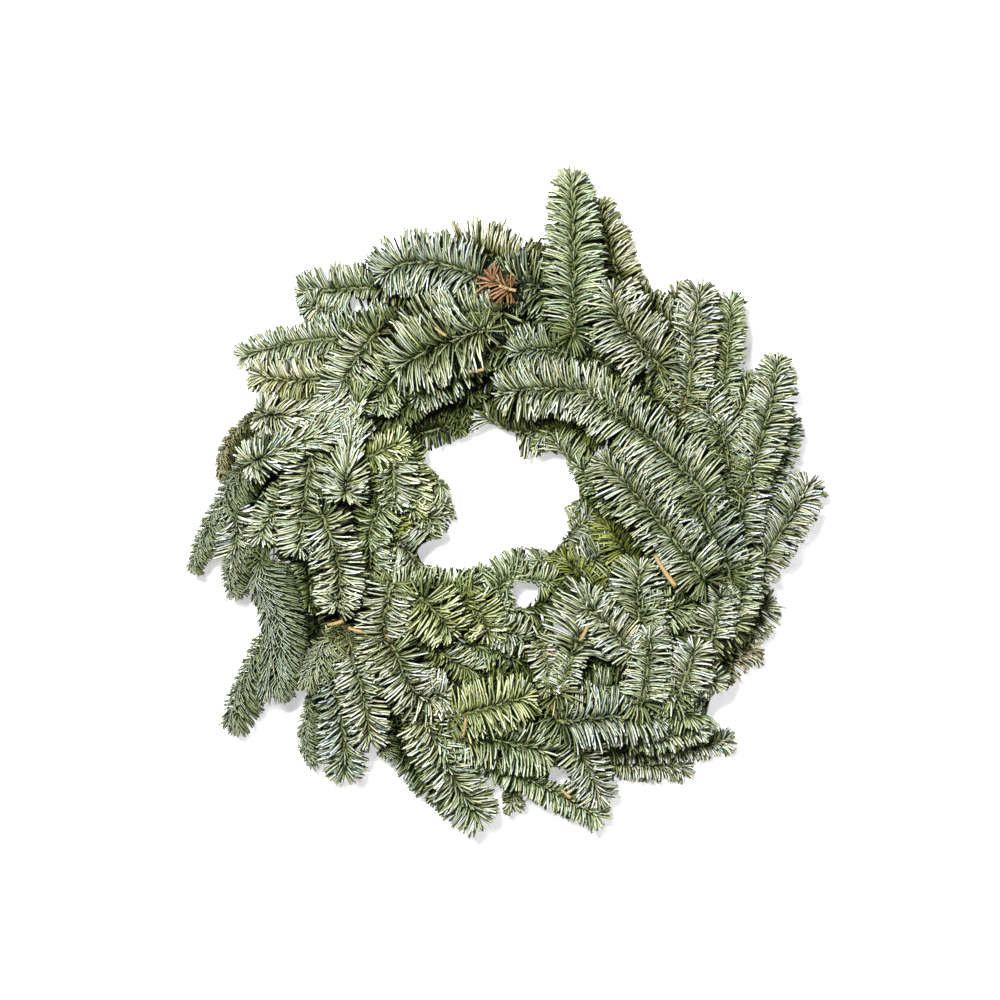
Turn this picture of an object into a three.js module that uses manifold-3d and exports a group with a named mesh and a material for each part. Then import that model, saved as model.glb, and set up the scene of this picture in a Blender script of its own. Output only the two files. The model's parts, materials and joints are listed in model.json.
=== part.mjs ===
// A fresh evergreen wreath of noble fir, lying on its back with its face up (+Z).
// Cuttings of fir are bound with a wire round a steel ring, and their tips all sweep the same way round.
// Millimetres. The middle of the wreath's outline is over the origin, and it rests at z = 0.

import * as THREE from 'three';
import Module from 'manifold-3d';
import { mergeVertices } from 'three/addons/utils/BufferGeometryUtils.js';

const wasm = await Module();
wasm.setup();

// ---------------------------------------------------------------- driving dimensions

const WREATH_HEIGHT = 485;          // highest tip to lowest tip of the face, as it hangs
const FACE_PIXELS = 674;            // the same span in the picture that the shoots were traced from
const FACE_MIDDLE = [500, 500];     // the ring's middle in that picture
const RING_DIAMETER = 254;          // 10 inch wreath ring, on its centreline
const RING_WIRE = 3.2;              // diameter of the ring's wire
const RING_HEIGHT = 25;             // the ring's centreline above the surface
const BINDING_WIRE = 1.0;           // diameter of the binding wire
const BINDING_TURNS = 24;           // turns of the binding wire round the ring
const STEM_RADIUS = 1.7;            // woody stem at its cut end
const SIDE_RADIUS = 1.4;            // side shoot where it leaves the stem
const TIP_RADIUS = 1.0;             // shoot just below its bud
const GAP = 0.3;                    // between pieces that touch
const HOLE = { x: 7, y: -2, width: 66, height: 56 };   // the clear way through the middle
const BACK_CUTTINGS = 7;            // low cuttings that close the wreath's back
const BACK_REACH = 30;              // reach of their needles, in pixels as for the others
const RESTING = [0, 2, 5];          // the back cuttings whose stems touch the surface

const MM_PER_PIXEL = WREATH_HEIGHT / FACE_PIXELS;
const RING_RADIUS = RING_DIAMETER / 2;
const BOUND_LENGTH = 16;            // stretch of each stem that lies along the ring
const SEAT_GAP = 0.4;               // a little more, because the ring and the winding have flats
const STEM_SEAT = RING_WIRE / 2 + SEAT_GAP + STEM_RADIUS;
const TURN_STEPS = 9;
const WINDING_FLAT = 0.4;           // how far the flats of the winding dip inside its radius
const WINDING_RADIUS = STEM_SEAT + STEM_RADIUS + SEAT_GAP + BINDING_WIRE / 2 + WINDING_FLAT;

// Height of the shoots' centrelines: a low floor, and a dome over the ring that falls to both rims.
const FLOOR_HEIGHT = 15;
const RIM_HEIGHT = 32;
const DOME_RISE = 40;
const DOME_RADIUS = 140;
const DOME_HALF_WIDTH = 100;
const LAYERS = 5;

// Needles: whorls of four along each shoot, each whorl turned an eighth against the last.
const NEEDLE_SPACING = 15;
const NEEDLE_WIDTH = 2.2;
const NEEDLE_ANGLE = 56;
const TIP_ANGLE = 24;
const TIP_SHARE = 0.62;             // length of the needles round a bud, against the others
const BUD_DEPTH = 11;               // a bud lies this far inside the ends of the needles round it
const LOWEST_NEEDLE = 1.2;
const NEEDLE_VARIES = 0.16;         // spread of the needles' lengths, as a share
const WHORL_SHIFT = 0.35;           // spread of the whorls along the shoot, as a share of their spacing
const WHORL_TWIST = 0.3;            // spread of the whorls' turn, in radians
const FIRST_WHORL = 2;              // from where the needles start to the first whorl
const LAST_WHORL = 3;               // from the last whorl to the bud

// ---------------------------------------------------------------- the shoots, as traced

// Each shoot: where it comes out, a point on its bend and its tip, in pixels of the face picture,
// how far its needles stand out in pixels, and its layer from 0 (back) to 5 (front).
// The first shoot of a cutting grows from the bound stem, and the others branch from it.
const TONES = { pale: 0x93a583, blue: 0x7f9784, green: 0x7d9162, gray: 0x84967c, dark: 0x4f5f38 };
const shoot = (from, by, to, reach, layer) => ({ points: [from, by, to], reach, layer });
const CUTTINGS = [
  { tone: 'pale', shoots: [shoot([702, 576], [650, 512], [598, 453], 31, 5)] },
  { tone: 'pale', shoots: [shoot([702, 492], [650, 440], [580, 394], 34, 5)] },
  { tone: 'blue', shoots: [shoot([728, 570], [700, 515], [672, 466], 34, 4)] },
  { tone: 'green', shoots: [
    shoot([574, 330], [573, 250], [572, 164], 30, 5),
    shoot([632, 318], [615, 262], [594, 196], 30, 2),
  ] },
  { tone: 'pale', shoots: [
    shoot([655, 362], [622, 325], [608, 280], 36, 5),
    shoot([640, 378], [600, 350], [566, 326], 16, 3),
  ] },
  { tone: 'pale', shoots: [
    shoot([480, 332], [440, 347], [390, 371], 40, 5),
    shoot([500, 312], [450, 318], [400, 340], 34, 4),
  ] },
  { tone: 'pale', shoots: [
    shoot([610, 398], [555, 389], [492, 394], 31, 5),
    shoot([625, 372], [565, 352], [505, 352], 30, 3),
  ] },
  { tone: 'pale', shoots: [
    shoot([350, 425], [300, 442], [250, 463], 28, 5),
    shoot([266, 450], [222, 512], [186, 580], 20, 3),
  ] },
  { tone: 'blue', shoots: [
    shoot([358, 405], [350, 455], [345, 495], 28, 5),
    shoot([360, 440], [368, 475], [372, 500], 20, 2),
  ] },
  { tone: 'pale', shoots: [
    shoot([325, 520], [338, 560], [341, 604], 28, 5),
    shoot([340, 585], [320, 615], [310, 650], 24, 1),
  ] },
  { tone: 'green', shoots: [
    shoot([425, 600], [442, 620], [458, 640], 32, 5),
    shoot([470, 600], [484, 622], [490, 645], 28, 4),
  ] },
  { tone: 'pale', shoots: [
    shoot([392, 585], [382, 635], [384, 680], 29, 4),
    shoot([398, 655], [413, 688], [442, 704], 30, 5),
  ] },
  { tone: 'green', shoots: [
    shoot([430, 733], [500, 741], [556, 754], 32, 4),
    shoot([455, 715], [500, 703], [537, 692], 30, 5),
  ] },
  { tone: 'pale', shoots: [
    shoot([642, 648], [638, 605], [640, 556], 32, 4),
    shoot([632, 652], [610, 628], [590, 606], 24, 5),
  ] },
  { tone: 'pale', shoots: [
    shoot([680, 690], [690, 662], [697, 636], 27, 5),
    shoot([700, 620], [707, 585], [714, 556], 24, 3),
  ] },
  { tone: 'pale', shoots: [
    shoot([645, 690], [690, 677], [726, 684], 22, 4),
    shoot([643, 700], [647, 668], [650, 636], 24, 5),
  ] },
  { tone: 'blue', shoots: [
    shoot([478, 277], [425, 262], [372, 276], 36, 4),
    shoot([450, 283], [372, 286], [292, 291], 26, 2),
  ] },
  { tone: 'blue', shoots: [
    shoot([535, 352], [485, 345], [440, 358], 27, 3),
    shoot([470, 358], [440, 378], [408, 402], 27, 4),
  ] },
  { tone: 'pale', shoots: [
    shoot([400, 325], [350, 338], [300, 338], 32, 2),
    shoot([370, 340], [346, 380], [338, 426], 28, 4),
  ] },
  { tone: 'pale', shoots: [
    shoot([345, 408], [305, 416], [262, 416], 27, 4),
    shoot([304, 398], [244, 428], [215, 481], 20, 2),
  ] },
  { tone: 'pale', shoots: [shoot([312, 450], [304, 510], [299, 560], 28, 4)] },
  { tone: 'green', shoots: [
    shoot([382, 505], [370, 530], [363, 552], 25, 4),
    shoot([392, 500], [425, 515], [450, 522], 22, 3),
    shoot([385, 515], [390, 535], [396, 554], 22, 3),
  ] },
  { tone: 'pale', shoots: [
    shoot([392, 455], [394, 485], [393, 515], 26, 4),
    shoot([410, 460], [414, 490], [409, 520], 22, 3),
  ] },
  { tone: 'green', shoots: [
    shoot([372, 455], [392, 446], [411, 439], 20, 4),
    shoot([398, 455], [415, 470], [431, 482], 18, 3),
  ] },
  { tone: 'gray', shoots: [
    shoot([688, 390], [694, 335], [702, 279], 25, 4),
    shoot([720, 352], [690, 312], [668, 286], 24, 2),
    shoot([722, 400], [730, 345], [733, 289], 20, 3),
  ] },
  { tone: 'gray', shoots: [
    shoot([735, 545], [748, 485], [758, 430], 26, 3),
    shoot([752, 468], [770, 408], [781, 349], 28, 4),
  ] },
  { tone: 'gray', shoots: [
    shoot([742, 590], [784, 530], [817, 475], 27, 3),
    shoot([745, 520], [772, 460], [792, 412], 25, 2),
  ] },
  { tone: 'pale', shoots: [
    shoot([735, 620], [742, 580], [748, 548], 23, 4),
    shoot([712, 640], [718, 610], [722, 582], 23, 4),
  ] },
  { tone: 'blue', shoots: [
    shoot([690, 672], [735, 630], [778, 596], 28, 3),
    shoot([700, 692], [730, 664], [764, 643], 18, 1),
  ] },
  { tone: 'pale', shoots: [
    shoot([560, 690], [577, 640], [594, 584], 40, 4),
    shoot([560, 655], [590, 668], [618, 662], 24, 1),
    shoot([540, 640], [547, 668], [551, 698], 17, 4),
  ] },
  { tone: 'gray', shoots: [
    shoot([600, 751], [670, 751], [740, 744], 16, 3),
    shoot([640, 740], [680, 735], [712, 727], 17, 3),
  ] },
  { tone: 'blue', shoots: [
    shoot([565, 722], [620, 716], [670, 715], 31, 4),
    shoot([568, 722], [588, 770], [603, 808], 25, 3),
    shoot([575, 700], [590, 690], [601, 684], 15, 3),
  ] },
  { tone: 'pale', shoots: [shoot([352, 650], [364, 700], [371, 750], 25, 4)] },
  { tone: 'blue', shoots: [
    shoot([332, 655], [341, 720], [344, 785], 26, 4),
    shoot([322, 690], [309, 730], [311, 772], 16, 2),
    shoot([336, 640], [322, 665], [302, 690], 19, 4),
  ] },
  { tone: 'pale', shoots: [
    shoot([425, 715], [450, 772], [484, 828], 30, 4),
    shoot([455, 690], [440, 712], [432, 735], 18, 2),
  ] },
  { tone: 'green', shoots: [
    shoot([620, 508], [595, 482], [569, 457], 17, 4),
    shoot([630, 548], [600, 522], [568, 512], 21, 2),
  ] },
  { tone: 'green', shoots: [
    shoot([345, 338], [290, 343], [233, 359], 22, 3),
    shoot([345, 372], [295, 380], [247, 372], 22, 3),
    shoot([350, 330], [370, 322], [396, 314], 24, 1),
  ] },
  { tone: 'green', shoots: [shoot([410, 365], [385, 388], [371, 416], 28, 3)] },
  { tone: 'blue', shoots: [
    shoot([600, 335], [545, 290], [490, 284], 34, 3),
    shoot([560, 300], [500, 258], [440, 252], 36, 2),
  ] },
  { tone: 'pale', shoots: [
    shoot([725, 440], [695, 395], [655, 362], 28, 3),
    shoot([740, 490], [722, 440], [705, 400], 26, 3),
  ] },
  { tone: 'green', shoots: [
    shoot([602, 604], [578, 574], [557, 548], 21, 3),
    shoot([655, 592], [625, 552], [602, 515], 24, 3),
    shoot([556, 592], [545, 572], [533, 553], 15, 2),
  ] },
  { tone: 'green', shoots: [shoot([476, 640], [500, 588], [527, 552], 24, 3)] },
  { tone: 'green', shoots: [
    shoot([385, 592], [435, 589], [485, 583], 25, 3),
    shoot([398, 600], [425, 632], [443, 664], 27, 3),
  ] },
  { tone: 'blue', shoots: [
    shoot([262, 560], [286, 625], [278, 700], 34, 3),
    shoot([272, 640], [248, 690], [229, 737], 17, 2),
  ] },
  { tone: 'blue', shoots: [
    shoot([385, 720], [420, 770], [458, 812], 22, 3),
    shoot([372, 700], [384, 735], [392, 763], 16, 2),
  ] },
  { tone: 'green', shoots: [
    shoot([490, 762], [548, 790], [608, 824], 19, 3),
    shoot([526, 765], [514, 795], [510, 820], 12, 1),
  ] },
  { tone: 'gray', shoots: [
    shoot([575, 757], [638, 767], [697, 772], 18, 2),
    shoot([590, 745], [580, 752], [565, 770], 16, 2),
  ] },
  { tone: 'pale', shoots: [
    shoot([290, 490], [268, 520], [254, 546], 20, 3),
    shoot([272, 520], [240, 560], [232, 601], 18, 2),
  ] },
  { tone: 'green', shoots: [shoot([610, 432], [565, 430], [530, 448], 21, 2)] },
  { tone: 'dark', shoots: [
    shoot([525, 385], [485, 375], [458, 398], 22, 2),
    shoot([510, 400], [475, 414], [446, 428], 18, 1),
  ] },
];

// ---------------------------------------------------------------- points and curves

const plus = (a, b) => [a[0] + b[0], a[1] + b[1], a[2] + b[2]];
const minus = (a, b) => [a[0] - b[0], a[1] - b[1], a[2] - b[2]];
const times = (a, k) => [a[0] * k, a[1] * k, a[2] * k];
const dot = (a, b) => a[0] * b[0] + a[1] * b[1] + a[2] * b[2];
const cross = (a, b) => [a[1] * b[2] - a[2] * b[1], a[2] * b[0] - a[0] * b[2], a[0] * b[1] - a[1] * b[0]];
const size = (a) => Math.sqrt(dot(a, a));
const unit = (a) => times(a, 1 / size(a));
const radians = (degrees) => degrees * Math.PI / 180;

// Least distance between two straight pieces, and how far along each it lies (0 to 1).
function nearest(a0, a1, b0, b1) {
  const a = minus(a1, a0);
  const b = minus(b1, b0);
  const between = minus(a0, b0);
  const aa = dot(a, a);
  const bb = dot(b, b);
  const ab = dot(a, b);
  const ra = dot(a, between);
  const rb = dot(b, between);
  const spread = aa * bb - ab * ab;
  let s = spread > 1e-9 ? Math.min(1, Math.max(0, (ab * rb - bb * ra) / spread)) : 0;
  let t = (ab * s + rb) / bb;
  if (t < 0) {
    t = 0;
    s = Math.min(1, Math.max(0, -ra / aa));
  } else if (t > 1) {
    t = 1;
    s = Math.min(1, Math.max(0, (ab - ra) / aa));
  }
  return [size(minus(plus(a0, times(a, s)), plus(b0, times(b, t)))), s, t];
}

// Height of a shoot's centreline by its distance from the middle and its layer.
function shootHeight(distance, layer) {
  const across = Math.min(1, Math.abs(distance - DOME_RADIUS) / DOME_HALF_WIDTH);
  const front = RIM_HEIGHT + DOME_RISE * (1 - across * across);
  return FLOOR_HEIGHT + (front - FLOOR_HEIGHT) * layer / LAYERS;
}

function facePoint([column, row], layer, lift) {
  const x = (column - FACE_MIDDLE[0]) * MM_PER_PIXEL;
  const y = (FACE_MIDDLE[1] - row) * MM_PER_PIXEL;
  return [x, y, shootHeight(Math.hypot(x, y), layer) + lift];
}

// The bent centreline through three points, as a list of points.
function bend([from, by, to], steps) {
  const line = [];
  for (let i = 0; i <= steps; i += 1) {
    const t = i / steps;
    const weights = [(1 - t) * (1 - 2 * t), 4 * t * (1 - t), t * (2 * t - 1)];
    line.push(plus(plus(times(from, weights[0]), times(by, weights[1])), times(to, weights[2])));
  }
  return line;
}

// A smooth run from one point to another, with its direction given at both.
function sweep(from, leaving, to, arriving, steps) {
  const line = [];
  for (let i = 1; i < steps; i += 1) {
    const t = i / steps;
    const h0 = 2 * t ** 3 - 3 * t ** 2 + 1;
    const h1 = t ** 3 - 2 * t ** 2 + t;
    const h2 = 3 * t ** 2 - 2 * t ** 3;
    const h3 = t ** 3 - t ** 2;
    const ends = plus(times(from, h0), times(to, h2));
    line.push(plus(ends, plus(times(leaving, h1), times(arriving, h3))));
  }
  return line;
}

// A point beside the ring's wire: `side` turns round the wire from straight outwards.
function besideRing(angle, side, distance) {
  const out = RING_RADIUS + distance * Math.cos(side);
  return [out * Math.cos(angle), out * Math.sin(angle), RING_HEIGHT + distance * Math.sin(side)];
}

// The binding wire's centreline: an even coil round the ring that closes on itself.
const windingPoint = (i) => {
  const side = 2 * Math.PI * i / TURN_STEPS;
  return besideRing(side / BINDING_TURNS, side, WINDING_RADIUS);
};

// ---------------------------------------------------------------- what stands where

// Round pieces already placed: centreline pieces with their radii at both ends, in a grid of cells.
const CELL = 24;
const HARD_ROOM = 0.15;             // to the ring and its binding, which the stems lie against
const cells = new Map();
let pieceCount = 0;

function eachCell(a, b, margin, visit) {
  const low = [0, 1, 2].map((k) => Math.floor((Math.min(a[k], b[k]) - margin) / CELL));
  const high = [0, 1, 2].map((k) => Math.floor((Math.max(a[k], b[k]) + margin) / CELL));
  for (let i = low[0]; i <= high[0]; i += 1) {
    for (let j = low[1]; j <= high[1]; j += 1) {
      for (let k = low[2]; k <= high[2]; k += 1) visit(`${i},${j},${k}`);
    }
  }
}

function place(piece) {
  pieceCount += 1;
  piece.id = pieceCount;
  eachCell(piece.from, piece.to, 0, (key) => {
    if (!cells.has(key)) cells.set(key, []);
    cells.get(key).push(piece);
  });
}

// True when the round piece keeps its distance from all that is placed, but for what `skip` leaves out.
function isClear(piece, room, skip) {
  const seen = new Set();
  let clear = true;
  eachCell(piece.from, piece.to, 5, (key) => {
    if (!clear || !cells.has(key)) return;
    for (const other of cells.get(key)) {
      if (seen.has(other.id)) continue;
      seen.add(other.id);
      if (skip(other)) continue;
      const [distance, s, t] = nearest(piece.from, piece.to, other.from, other.to);
      const mine = piece.radii[0] + (piece.radii[1] - piece.radii[0]) * s;
      const theirs = other.radii[0] + (other.radii[1] - other.radii[0]) * t;
      if (distance < mine + theirs + (other.hard ? HARD_ROOM : room)) {
        clear = false;
        return;
      }
    }
  });
  return clear;
}

function piecesOf(line, radius, owner) {
  return line.slice(1).map((to, i) => ({ from: line[i], to, radii: [radius, radius], owner }));
}

// ---------------------------------------------------------------- stems and shoots

const SIDES = [90, 28, 152, -34, 214];                    // places round the ring's wire for a stem
const LOW_SIDES = [-34, 28, 214, 90, 152];
const LEADS = [11, 14, 8, 17, 20, 24, 28, 33, 39, 5];     // degrees from the binding to the shoot
const BOWS = [1, 0.7, 1.4];                               // how far a stem swings out on its way
const LIFTS = [0, 3, -3, 6, -6, 9, -9, 12, -12, 15, -15, 18, -18, 22, -22];
const LOW_LAYER = 2;
const STEM_FLARE = 0.45;            // how steeply a stem lifts off the ring
const STEM_ARRIVAL = 0.8;           // how straight it runs into its shoot, and the same for the side shoots
const BRANCH_DEPARTURE = 0.5;
const BRANCH_ARRIVAL = 0.6;
const SHOOT_STEPS = 8;
const RUN_STEPS = 4;
const BRANCH_STEPS = 3;
const LOWEST_LINE = 6;              // a centreline that doesn't rest keeps this far above the surface
const LINE_ROOM = 0.45;             // between two cuttings' stems and shoots
const HOLE_ROOM = 2;                // between the way through the middle and what grows round it
const LOWEST_REST = 0.2;            // a resting stem's centreline may come this near the surface
const SEAT_ATTEMPTS = 60;
const BRANCH_BACKS = [2, 1, 3, 0, 4, 5];                  // points back along the stem to branch from

const angleOf = (p) => Math.atan2(p[1], p[0]);

// A shoot of the face, or a back one, as a line at a height that `lift` raises.
function lineOf({ points, layer }, lift) {
  const inSpace = (p) => (p.length === 2 ? facePoint(p, layer, lift) : plus(p, [0, 0, lift]));
  const [from, by, to] = points.map(inSpace);
  const bud = plus(to, times(unit(minus(by, to)), BUD_DEPTH));
  return bend([from, by, bud], SHOOT_STEPS);
}

// True when the binding wire passes over this side of the ring inside the bound stretch.
function isBound(start, side) {
  const pitch = 2 * Math.PI / BINDING_TURNS;
  const middle = start + BOUND_LENGTH / 2 / RING_RADIUS;
  const pass = Math.round((middle - side / BINDING_TURNS) / pitch) * pitch + side / BINDING_TURNS;
  return Math.abs(pass - middle) * RING_RADIUS < BOUND_LENGTH / 2 - 2;
}

// The stem: along the ring where it is bound, then out between two turns and up to the shoot.
function stemLine(shootLine, side, lead, bow) {
  const start = angleOf(shootLine[0]) - radians(lead);
  if (!isBound(start, side)) return null;
  const line = [0, 0.5, 1].map((t) => besideRing(start + t * BOUND_LENGTH / RING_RADIUS, side, STEM_SEAT));
  const last = line[line.length - 1];
  const angle = angleOf(last);
  const along = [-Math.sin(angle), Math.cos(angle), 0];
  const away = minus(besideRing(angle, side, 1), besideRing(angle, side, 0));
  const distance = size(minus(shootLine[0], last));
  const leaving = times(plus(along, times(away, STEM_FLARE)), distance * bow);
  const arriving = times(unit(minus(shootLine[1], shootLine[0])), distance * bow * STEM_ARRIVAL);
  return line.concat(sweep(last, leaving, shootLine[0], arriving, RUN_STEPS));
}

// A side shoot's run from the stem to where its needles start.
function branchLine(parent, shootLine, back) {
  const start = shootLine[0];
  const ahead = parent.filter((p, i) => i > 3 && i < parent.length - 3);
  const reachTo = (p) => size(minus(p, start));
  const nearestPoint = ahead.reduce((a, b) => (reachTo(b) < reachTo(a) ? b : a));
  const from = parent[Math.max(3, parent.indexOf(nearestPoint) - back)];
  const after = parent[parent.indexOf(from) + 1];
  const distance = Math.max(4, size(minus(start, from)));
  const outset = plus(unit(minus(after, from)), unit(minus(start, from)));
  const leaving = times(outset, distance * BRANCH_DEPARTURE);
  const arriving = times(unit(minus(shootLine[1], start)), distance * BRANCH_ARRIVAL);
  return [from].concat(sweep(from, leaving, start, arriving, BRANCH_STEPS));
}

function isLineClear(line, radius, room, owner) {
  const isOwn = (other) => other.owner === owner;
  return piecesOf(line, radius, owner).every((piece) => isClear(piece, room, isOwn));
}

function keepsHole(line, room) {
  const clearOfIt = ([x, y]) => Math.abs(x - HOLE.x) > HOLE.width / 2 + room
    || Math.abs(y - HOLE.y) > HOLE.height / 2 + room;
  return line.every(clearOfIt);
}

// Every way to seat a cutting, the most natural first.
function* waysToSeat(lifts, sides) {
  for (const lift of lifts) {
    for (const bow of BOWS) {
      for (const side of sides) {
        for (const lead of LEADS) yield { lift, side, lead, bow };
      }
    }
  }
}

// Finds a seat on the ring and a height where the cutting passes all the others, and places it.
function growCutting(name, shoots) {
  const [main, ...others] = shoots;
  const sides = main.layer <= LOW_LAYER ? LOW_SIDES : SIDES;
  let limbs = null;
  for (const { lift, side, lead, bow } of waysToSeat(main.resting ? [0] : LIFTS, sides)) {
    const shootLine = lineOf(main, lift);
    const stem = stemLine(shootLine, radians(side), lead, bow);
    if (!stem) continue;
    const line = stem.concat(shootLine);
    if (line.some((p) => p[2] < (main.resting ? LOWEST_REST : LOWEST_LINE))) continue;
    if (!keepsHole(line, HOLE_ROOM) || !isLineClear(line, STEM_RADIUS, LINE_ROOM, name)) continue;
    limbs = [{ line, bare: stem.length, radius: STEM_RADIUS, reach: main.reach * MM_PER_PIXEL }];
    break;
  }
  if (!limbs) return null;
  for (const shoot of others) {
    let limb = null;
    for (const lift of LIFTS) {
      for (const back of BRANCH_BACKS) {
        const shootLine = lineOf(shoot, lift);
        const run = branchLine(limbs[0].line, shootLine, back);
        const line = run.concat(shootLine);
        if (limb || line.some((p) => p[2] < LOWEST_LINE) || !keepsHole(line, HOLE_ROOM)) continue;
        if (!isLineClear(line, SIDE_RADIUS, LINE_ROOM, name)) continue;
        limb = { line, bare: run.length, radius: SIDE_RADIUS, reach: shoot.reach * MM_PER_PIXEL };
      }
      if (limb) break;
    }
    if (!limb) return null;
    limbs.push(limb);
  }
  limbs.forEach((limb, i) => {
    piecesOf(limb.line, limb.radius, name).forEach((piece) => place({ ...piece, limb: `${name}/${i}` }));
  });
  return limbs;
}

// ---------------------------------------------------------------- needles and their shoots

const pairsOf = (line) => line.slice(1).map((p, i) => size(minus(p, line[i])));
const lengthOf = (line) => pairsOf(line).reduce((a, b) => a + b, 0);

function along(line, distance) {
  const pieces = pairsOf(line);
  let left = Math.max(0, distance);
  let i = 0;
  while (i < pieces.length - 1 && left > pieces[i]) {
    left -= pieces[i];
    i += 1;
  }
  const direction = unit(minus(line[i + 1], line[i]));
  return { point: plus(line[i], times(direction, left)), direction };
}

let seed = 20241;
function random() {
  seed = (seed * 1103515245 + 12345) % 2147483648;
  return seed / 2147483648;
}

// Ways to turn a needle clear of what is in its way: round the shoot, along it, and its length.
const TURNS = [0, 12, -12, 24, -24, 36, -36];
const LEANS = [0, -12, 12, -24];
const LENGTHS = [1, 0.8];

function growNeedle(base, outward, direction, angle, length, owner, limb, whorl) {
  const around = cross(direction, outward);
  for (const share of LENGTHS) {
    for (const lean of LEANS) {
      for (const turn of TURNS) {
        const a = radians(angle + lean);
        const o = radians(turn);
        const radial = plus(times(outward, Math.cos(o)), times(around, Math.sin(o)));
        const heading = plus(times(direction, Math.cos(a)), times(radial, Math.sin(a)));
        const tip = plus(base, times(heading, length * share));
        if (tip[2] < LOWEST_NEEDLE || !keepsHole([tip, times(plus(tip, base), 0.5)], HOLE_ROOM)) continue;
        const piece = { from: base, to: tip, radii: [NEEDLE_WIDTH / 2, 0.1], owner, limb, whorl };
        const skip = (other) => other.limb === limb && (other.whorl === undefined || other.whorl === whorl);
        if (isClear(piece, GAP, skip)) return piece;
      }
    }
  }
  return null;
}

// Rings of four corners from the cut end to the bud, with a needle on each face of every whorl.
function limbMesh(limb, owner, key) {
  const { line, bare, radius, reach } = limb;
  const total = lengthOf(line);
  const bareLength = lengthOf(line.slice(0, bare + 1));
  const stations = [];
  for (let i = 0; i < bare; i += 1) {
    stations.push({ at: i === 0 ? 0 : lengthOf(line.slice(0, i + 1)), whorl: false, turn: 0 });
  }
  const whorls = Math.max(2, Math.round((total - bareLength) / NEEDLE_SPACING));
  const half = NEEDLE_WIDTH / 2;
  const first = bareLength + FIRST_WHORL;
  const end = total - LAST_WHORL;
  for (let k = 0; k < whorls; k += 1) {
    const shift = k > 0 && k < whorls - 1 ? WHORL_SHIFT * (random() - 0.5) : 0;
    const at = first + (end - first) * (k + shift) / (whorls - 1);
    const turn = Math.PI / 4 * (k + 1) + WHORL_TWIST * (random() - 0.5);
    const last = whorls - 1 - k;
    const nearTip = Math.max(0, 1 - last / 2);
    const angle = NEEDLE_ANGLE + (TIP_ANGLE - NEEDLE_ANGLE) * nearTip;
    stations.push({ at: at - half, whorl: true, turn, angle, share: 1 + (TIP_SHARE - 1) * nearTip, k });
    stations.push({ at: at + half, whorl: false, turn });
  }
  const corners = [];
  const rings = stations.map((station) => {
    const { point, direction } = along(line, station.at);
    const share = Math.max(0, (station.at - bareLength) / (total - bareLength));
    const r = radius + (TIP_RADIUS - radius) * share;
    const across = unit(cross([0, 0, 1], direction));
    const up = cross(direction, across);
    const ring = { point, direction };
    ring.first = corners.length;
    for (let j = 0; j < 4; j += 1) {
      const a = Math.PI / 4 + Math.PI / 2 * j + station.turn;
      corners.push(plus(point, plus(times(across, r * Math.cos(a)), times(up, r * Math.sin(a)))));
    }
    return ring;
  });
  const faces = [];
  faces.push([0, 2, 1], [0, 3, 2]);
  stations.slice(1).forEach((_, i) => {
    const a = rings[i];
    const b = rings[i + 1];
    const station = stations[i];
    // Corners line up across a band by the quarter turns that the whorls have made.
    const slip = Math.round((station.turn - stations[i + 1].turn) / (Math.PI / 2));
    for (let j = 0; j < 4; j += 1) {
      const n = (j + 1) % 4;
      const p = a.first + j;
      const q = a.first + n;
      const r = b.first + ((n + slip) % 4 + 4) % 4;
      const s = b.first + ((j + slip) % 4 + 4) % 4;
      let needle = null;
      if (station.whorl) {
        const base = times(plus(plus(corners[p], corners[q]), plus(corners[r], corners[s])), 0.25);
        const middle = times(plus(a.point, b.point), 0.5);
        const radial = minus(base, middle);
        const outward = unit(minus(radial, times(a.direction, dot(radial, a.direction))));
        const share = station.share * (1 + NEEDLE_VARIES * (random() - 0.5));
        const length = share * reach / Math.sin(radians(NEEDLE_ANGLE));
        needle = growNeedle(base, outward, a.direction, station.angle, length, owner, key, station.k);
      }
      if (needle) {
        place(needle);
        const tip = corners.length;
        corners.push(needle.to);
        faces.push([p, q, tip], [q, r, tip], [r, s, tip], [s, p, tip]);
      } else {
        faces.push([p, q, r], [p, r, s]);
      }
    }
  });
  const last = rings[rings.length - 1].first;
  const bud = corners.length;
  corners.push(line[line.length - 1]);
  for (let j = 0; j < 4; j += 1) faces.push([last + j, last + (j + 1) % 4, bud]);
  return meshOf(corners, faces);
}

// ---------------------------------------------------------------- solids

function meshOf(corners, faces) {
  const geometry = new THREE.BufferGeometry();
  geometry.setAttribute('position', new THREE.Float32BufferAttribute(corners.flat(), 3));
  geometry.setIndex(faces.flat());
  return geometry;
}

function solidOf(geometry) {
  const bare = geometry.clone();
  bare.deleteAttribute('normal');
  bare.deleteAttribute('uv');
  const merged = mergeVertices(bare, 1e-4);
  const vertProperties = new Float32Array(merged.attributes.position.array);
  const triVerts = new Uint32Array(merged.index.array);
  return new wasm.Manifold(new wasm.Mesh({ numProp: 3, vertProperties, triVerts }));
}

function geometryOf(solid) {
  const { vertProperties, triVerts } = solid.getMesh();
  const geometry = new THREE.BufferGeometry();
  geometry.setAttribute('position', new THREE.BufferAttribute(new Float32Array(vertProperties), 3));
  geometry.setIndex(new THREE.BufferAttribute(new Uint32Array(triVerts), 1));
  return geometry;
}

const wreath = new THREE.Group();

function addPiece(name, geometry, look) {
  const mesh = new THREE.Mesh(geometry, new THREE.MeshStandardMaterial(look));
  mesh.name = name;
  wreath.add(mesh);
}

// ---------------------------------------------------------------- ring and binding wire

const RING_STEPS = 60;
const RING_SIDES = 6;

function ringGeometry() {
  const geometry = new THREE.TorusGeometry(RING_RADIUS, RING_WIRE / 2, RING_SIDES, RING_STEPS);
  geometry.translate(0, 0, RING_HEIGHT);
  return geometryOf(solidOf(geometry));
}

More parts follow.
